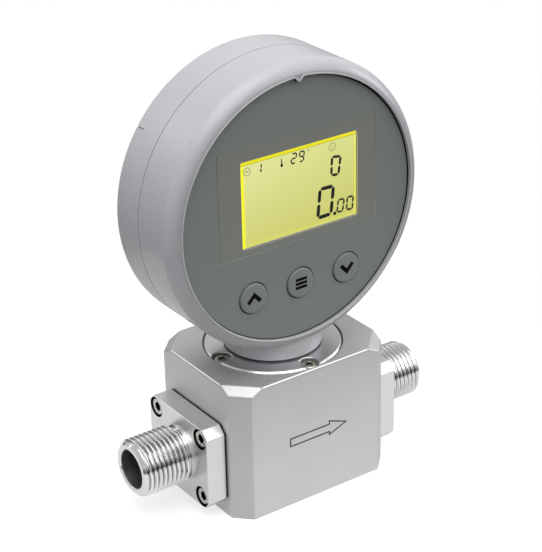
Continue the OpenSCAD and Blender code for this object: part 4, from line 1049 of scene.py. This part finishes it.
# Buttons
# Three moulded caps of the panel's grey, each with a printed sign. They stand a little proud of the
# panel, and a flange behind it keeps them in.
button_z, sign_y = -27.2, 17.9
sign_ink = finish("printed_ink_black", ("#020202", "#060606"), (0.6, 0.75), 0.2, 0.004, drift=2.0,
                  shader={"Specular IOR Level": 0.08})
up_arrow, down_arrow = ((-2.5, -1.4), (0, 1.3), (2.5, -1.4)), ((-2.5, 1.4), (0, -1.3), (2.5, 1.4))
bars = [((-2.35, z), (2.35, z)) for z in (1.5, 0, -1.5)]
stem_r, flange_r, cap_r = 1.6, 6.62, 5.34
stem_end, flange_back, flange_front, cap_edge = 7.5, 14.6, 15.6, 17.5
for name, at, sign, stroke in (("up", -19.4, [up_arrow], 1.45), ("menu", 0.0, bars, 1.05),
                               ("down", 19.4, [down_arrow], 1.45)):
    cap = turned((
        (stem_end, stem_r), (flange_back, stem_r), (flange_back, flange_r), (flange_front, flange_r),
        (flange_front, cap_r), (cap_edge, cap_r), (cap_edge + 0.22, cap_r - 0.08),
        (cap_edge + 0.36, cap_r - 0.28), (sign_y, cap_r - 0.54)))
    cap.transform(at_head @ Matrix.Translation((at * MM, button_z * MM, 0)))
    place("button_" + name + "_cap", cap, panel_sheet, name + "_button", "button_" + name,
          "button_plastic")
    printed = join_meshes([ribbon([(at + x, button_z + z) for x, z in line], stroke, 0.03, loop=False)
                           for line in sign])
    place("button_" + name + "_sign", on_front(printed, -sign_y, head_z), sign_ink, name + "_button",
          slot="button_plastic")

# Cable connector
# A round connector of nickel-plated brass, held in the back by its nut, with a bevelled collar, an M12
# thread and a black contact block. The nickel gives it a warm mirror.
plated = finish("nickel_plated_brass", ("#C6C3BB", "#D2CFC7"), (0.2, 0.3), 0.3, 0.004, drift=4.0,
                shader=metal)
connector_z, neck_r, m12_r, socket_r, collar_r = 83.8, 5.3, 6.0, 4.25, 9.0
body_start, collar_back, collar_front, m12_start, socket_end = 10.2, 15.2, 17.2, 17.4, 25.7
collar_bevel, socket_bevel = 0.3, 0.25
connector = run_tree(male_thread, {
    "Pitch": 1.0, "Turns": 10, "Start": m12_start, "Start Full": m12_start + 0.5,
    "End Full": socket_end - 0.6, "End": socket_end, "Start Radius": neck_r, "Root Radius": 5.39,
    "Crest Radius": m12_r, "End Radius": 5.35, "Material": plated})
closed_thread(connector, (
    (socket_end, neck_r), (socket_end, socket_r + socket_bevel), (socket_end - socket_bevel, socket_r),
    (body_start, socket_r), (body_start, m12_r), (collar_back, m12_r),
    (collar_back, collar_r - collar_bevel), (collar_back + collar_bevel, collar_r),
    (collar_front - collar_bevel, collar_r), (collar_front, collar_r - collar_bevel),
    (collar_front, neck_r)),
    Matrix.Translation((0, 0, connector_z * MM)) @ Matrix.Rotation(math.pi / 2, 4, "Z"))
place("cable_connector_threaded", connector, plated, "display_head", "cable_connector", "connector_metal")

# Hidden pieces
# What the case and the block hold. Each keeps its CAD shape and gets the finish of its own material,
# from the matt green of the boards to the gloss of bare silicon.


def recolour(nodes, material):
    """Gives CAD nodes that stay in view their finish."""
    for node in nodes:
        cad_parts[node].data.materials.clear()
        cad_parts[node].data.materials.append(material)


recolour(["sensor_seal", "neck_seal", "case_seal"], black_rubber)
recolour(["sensor_screws", "board_screws", "io_board_screws", "connector_nut"], screw_steel)
for nodes, name, tones, rough, grain, relief, shader in (
        (["sensor_lead"], "pvc_sheath_black", ("#1A1A1B", "#232324"), (0.45, 0.55), 0.5, 0.01, None),
        (["swivel_post"], "machined_aluminium", ("#BEBFC1", "#C9CACB"), (0.3, 0.4), 0.3, 0.006, metal),
        (["inlet_screen", "outlet_screen"], "woven_steel_wire", ("#A9A9A7", "#B8B8B6"), (0.3, 0.45), 0.3,
         0.01, metal),
        (["flow_straightener"], "moulded_acetal_white", ("#DFE0DE", "#E6E7E5"), (0.4, 0.5), 0.4, 0.01, None),
        (["sensor_holder"], "moulded_ppo_dark_grey", ("#3A3B3D", "#444547"), (0.45, 0.55), 0.3, 0.01, None),
        (["sensor_chip"], "bare_silicon", ("#3F4450", "#4C5160"), (0.12, 0.2), 0.5, 0.002, None),
        (["sensor_board", "main_board", "io_board"], "solder_mask_green", ("#1F5A35", "#246640"),
         (0.28, 0.38), 0.5, 0.01, None),
        (["sensor_header", "lead_socket"], "moulded_nylon_ivory", ("#DAD5C2", "#E2DDCB"), (0.4, 0.5), 0.4,
         0.01, None),
        (["tact_switches", "board_link", "connector_insert"], "moulded_pbt_black", ("#1B1C1D", "#242526"),
         (0.4, 0.5), 0.3, 0.01, None),
        (["backlight"], "moulded_acrylic_opal", ("#E4E5DE", "#ECEDE6"), (0.3, 0.4), 0.5, 0.005, None),
        (["connector_contacts"], "gold_plated_brass", ("#C9A55A", "#D6B36A"), (0.18, 0.26), 0.3, 0.003,
         metal)):
    recolour(nodes, finish(name, tones, rough, grain, relief, shader=shader))

size = {"cad": cad_box, "visual": [list(corner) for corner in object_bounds()]}
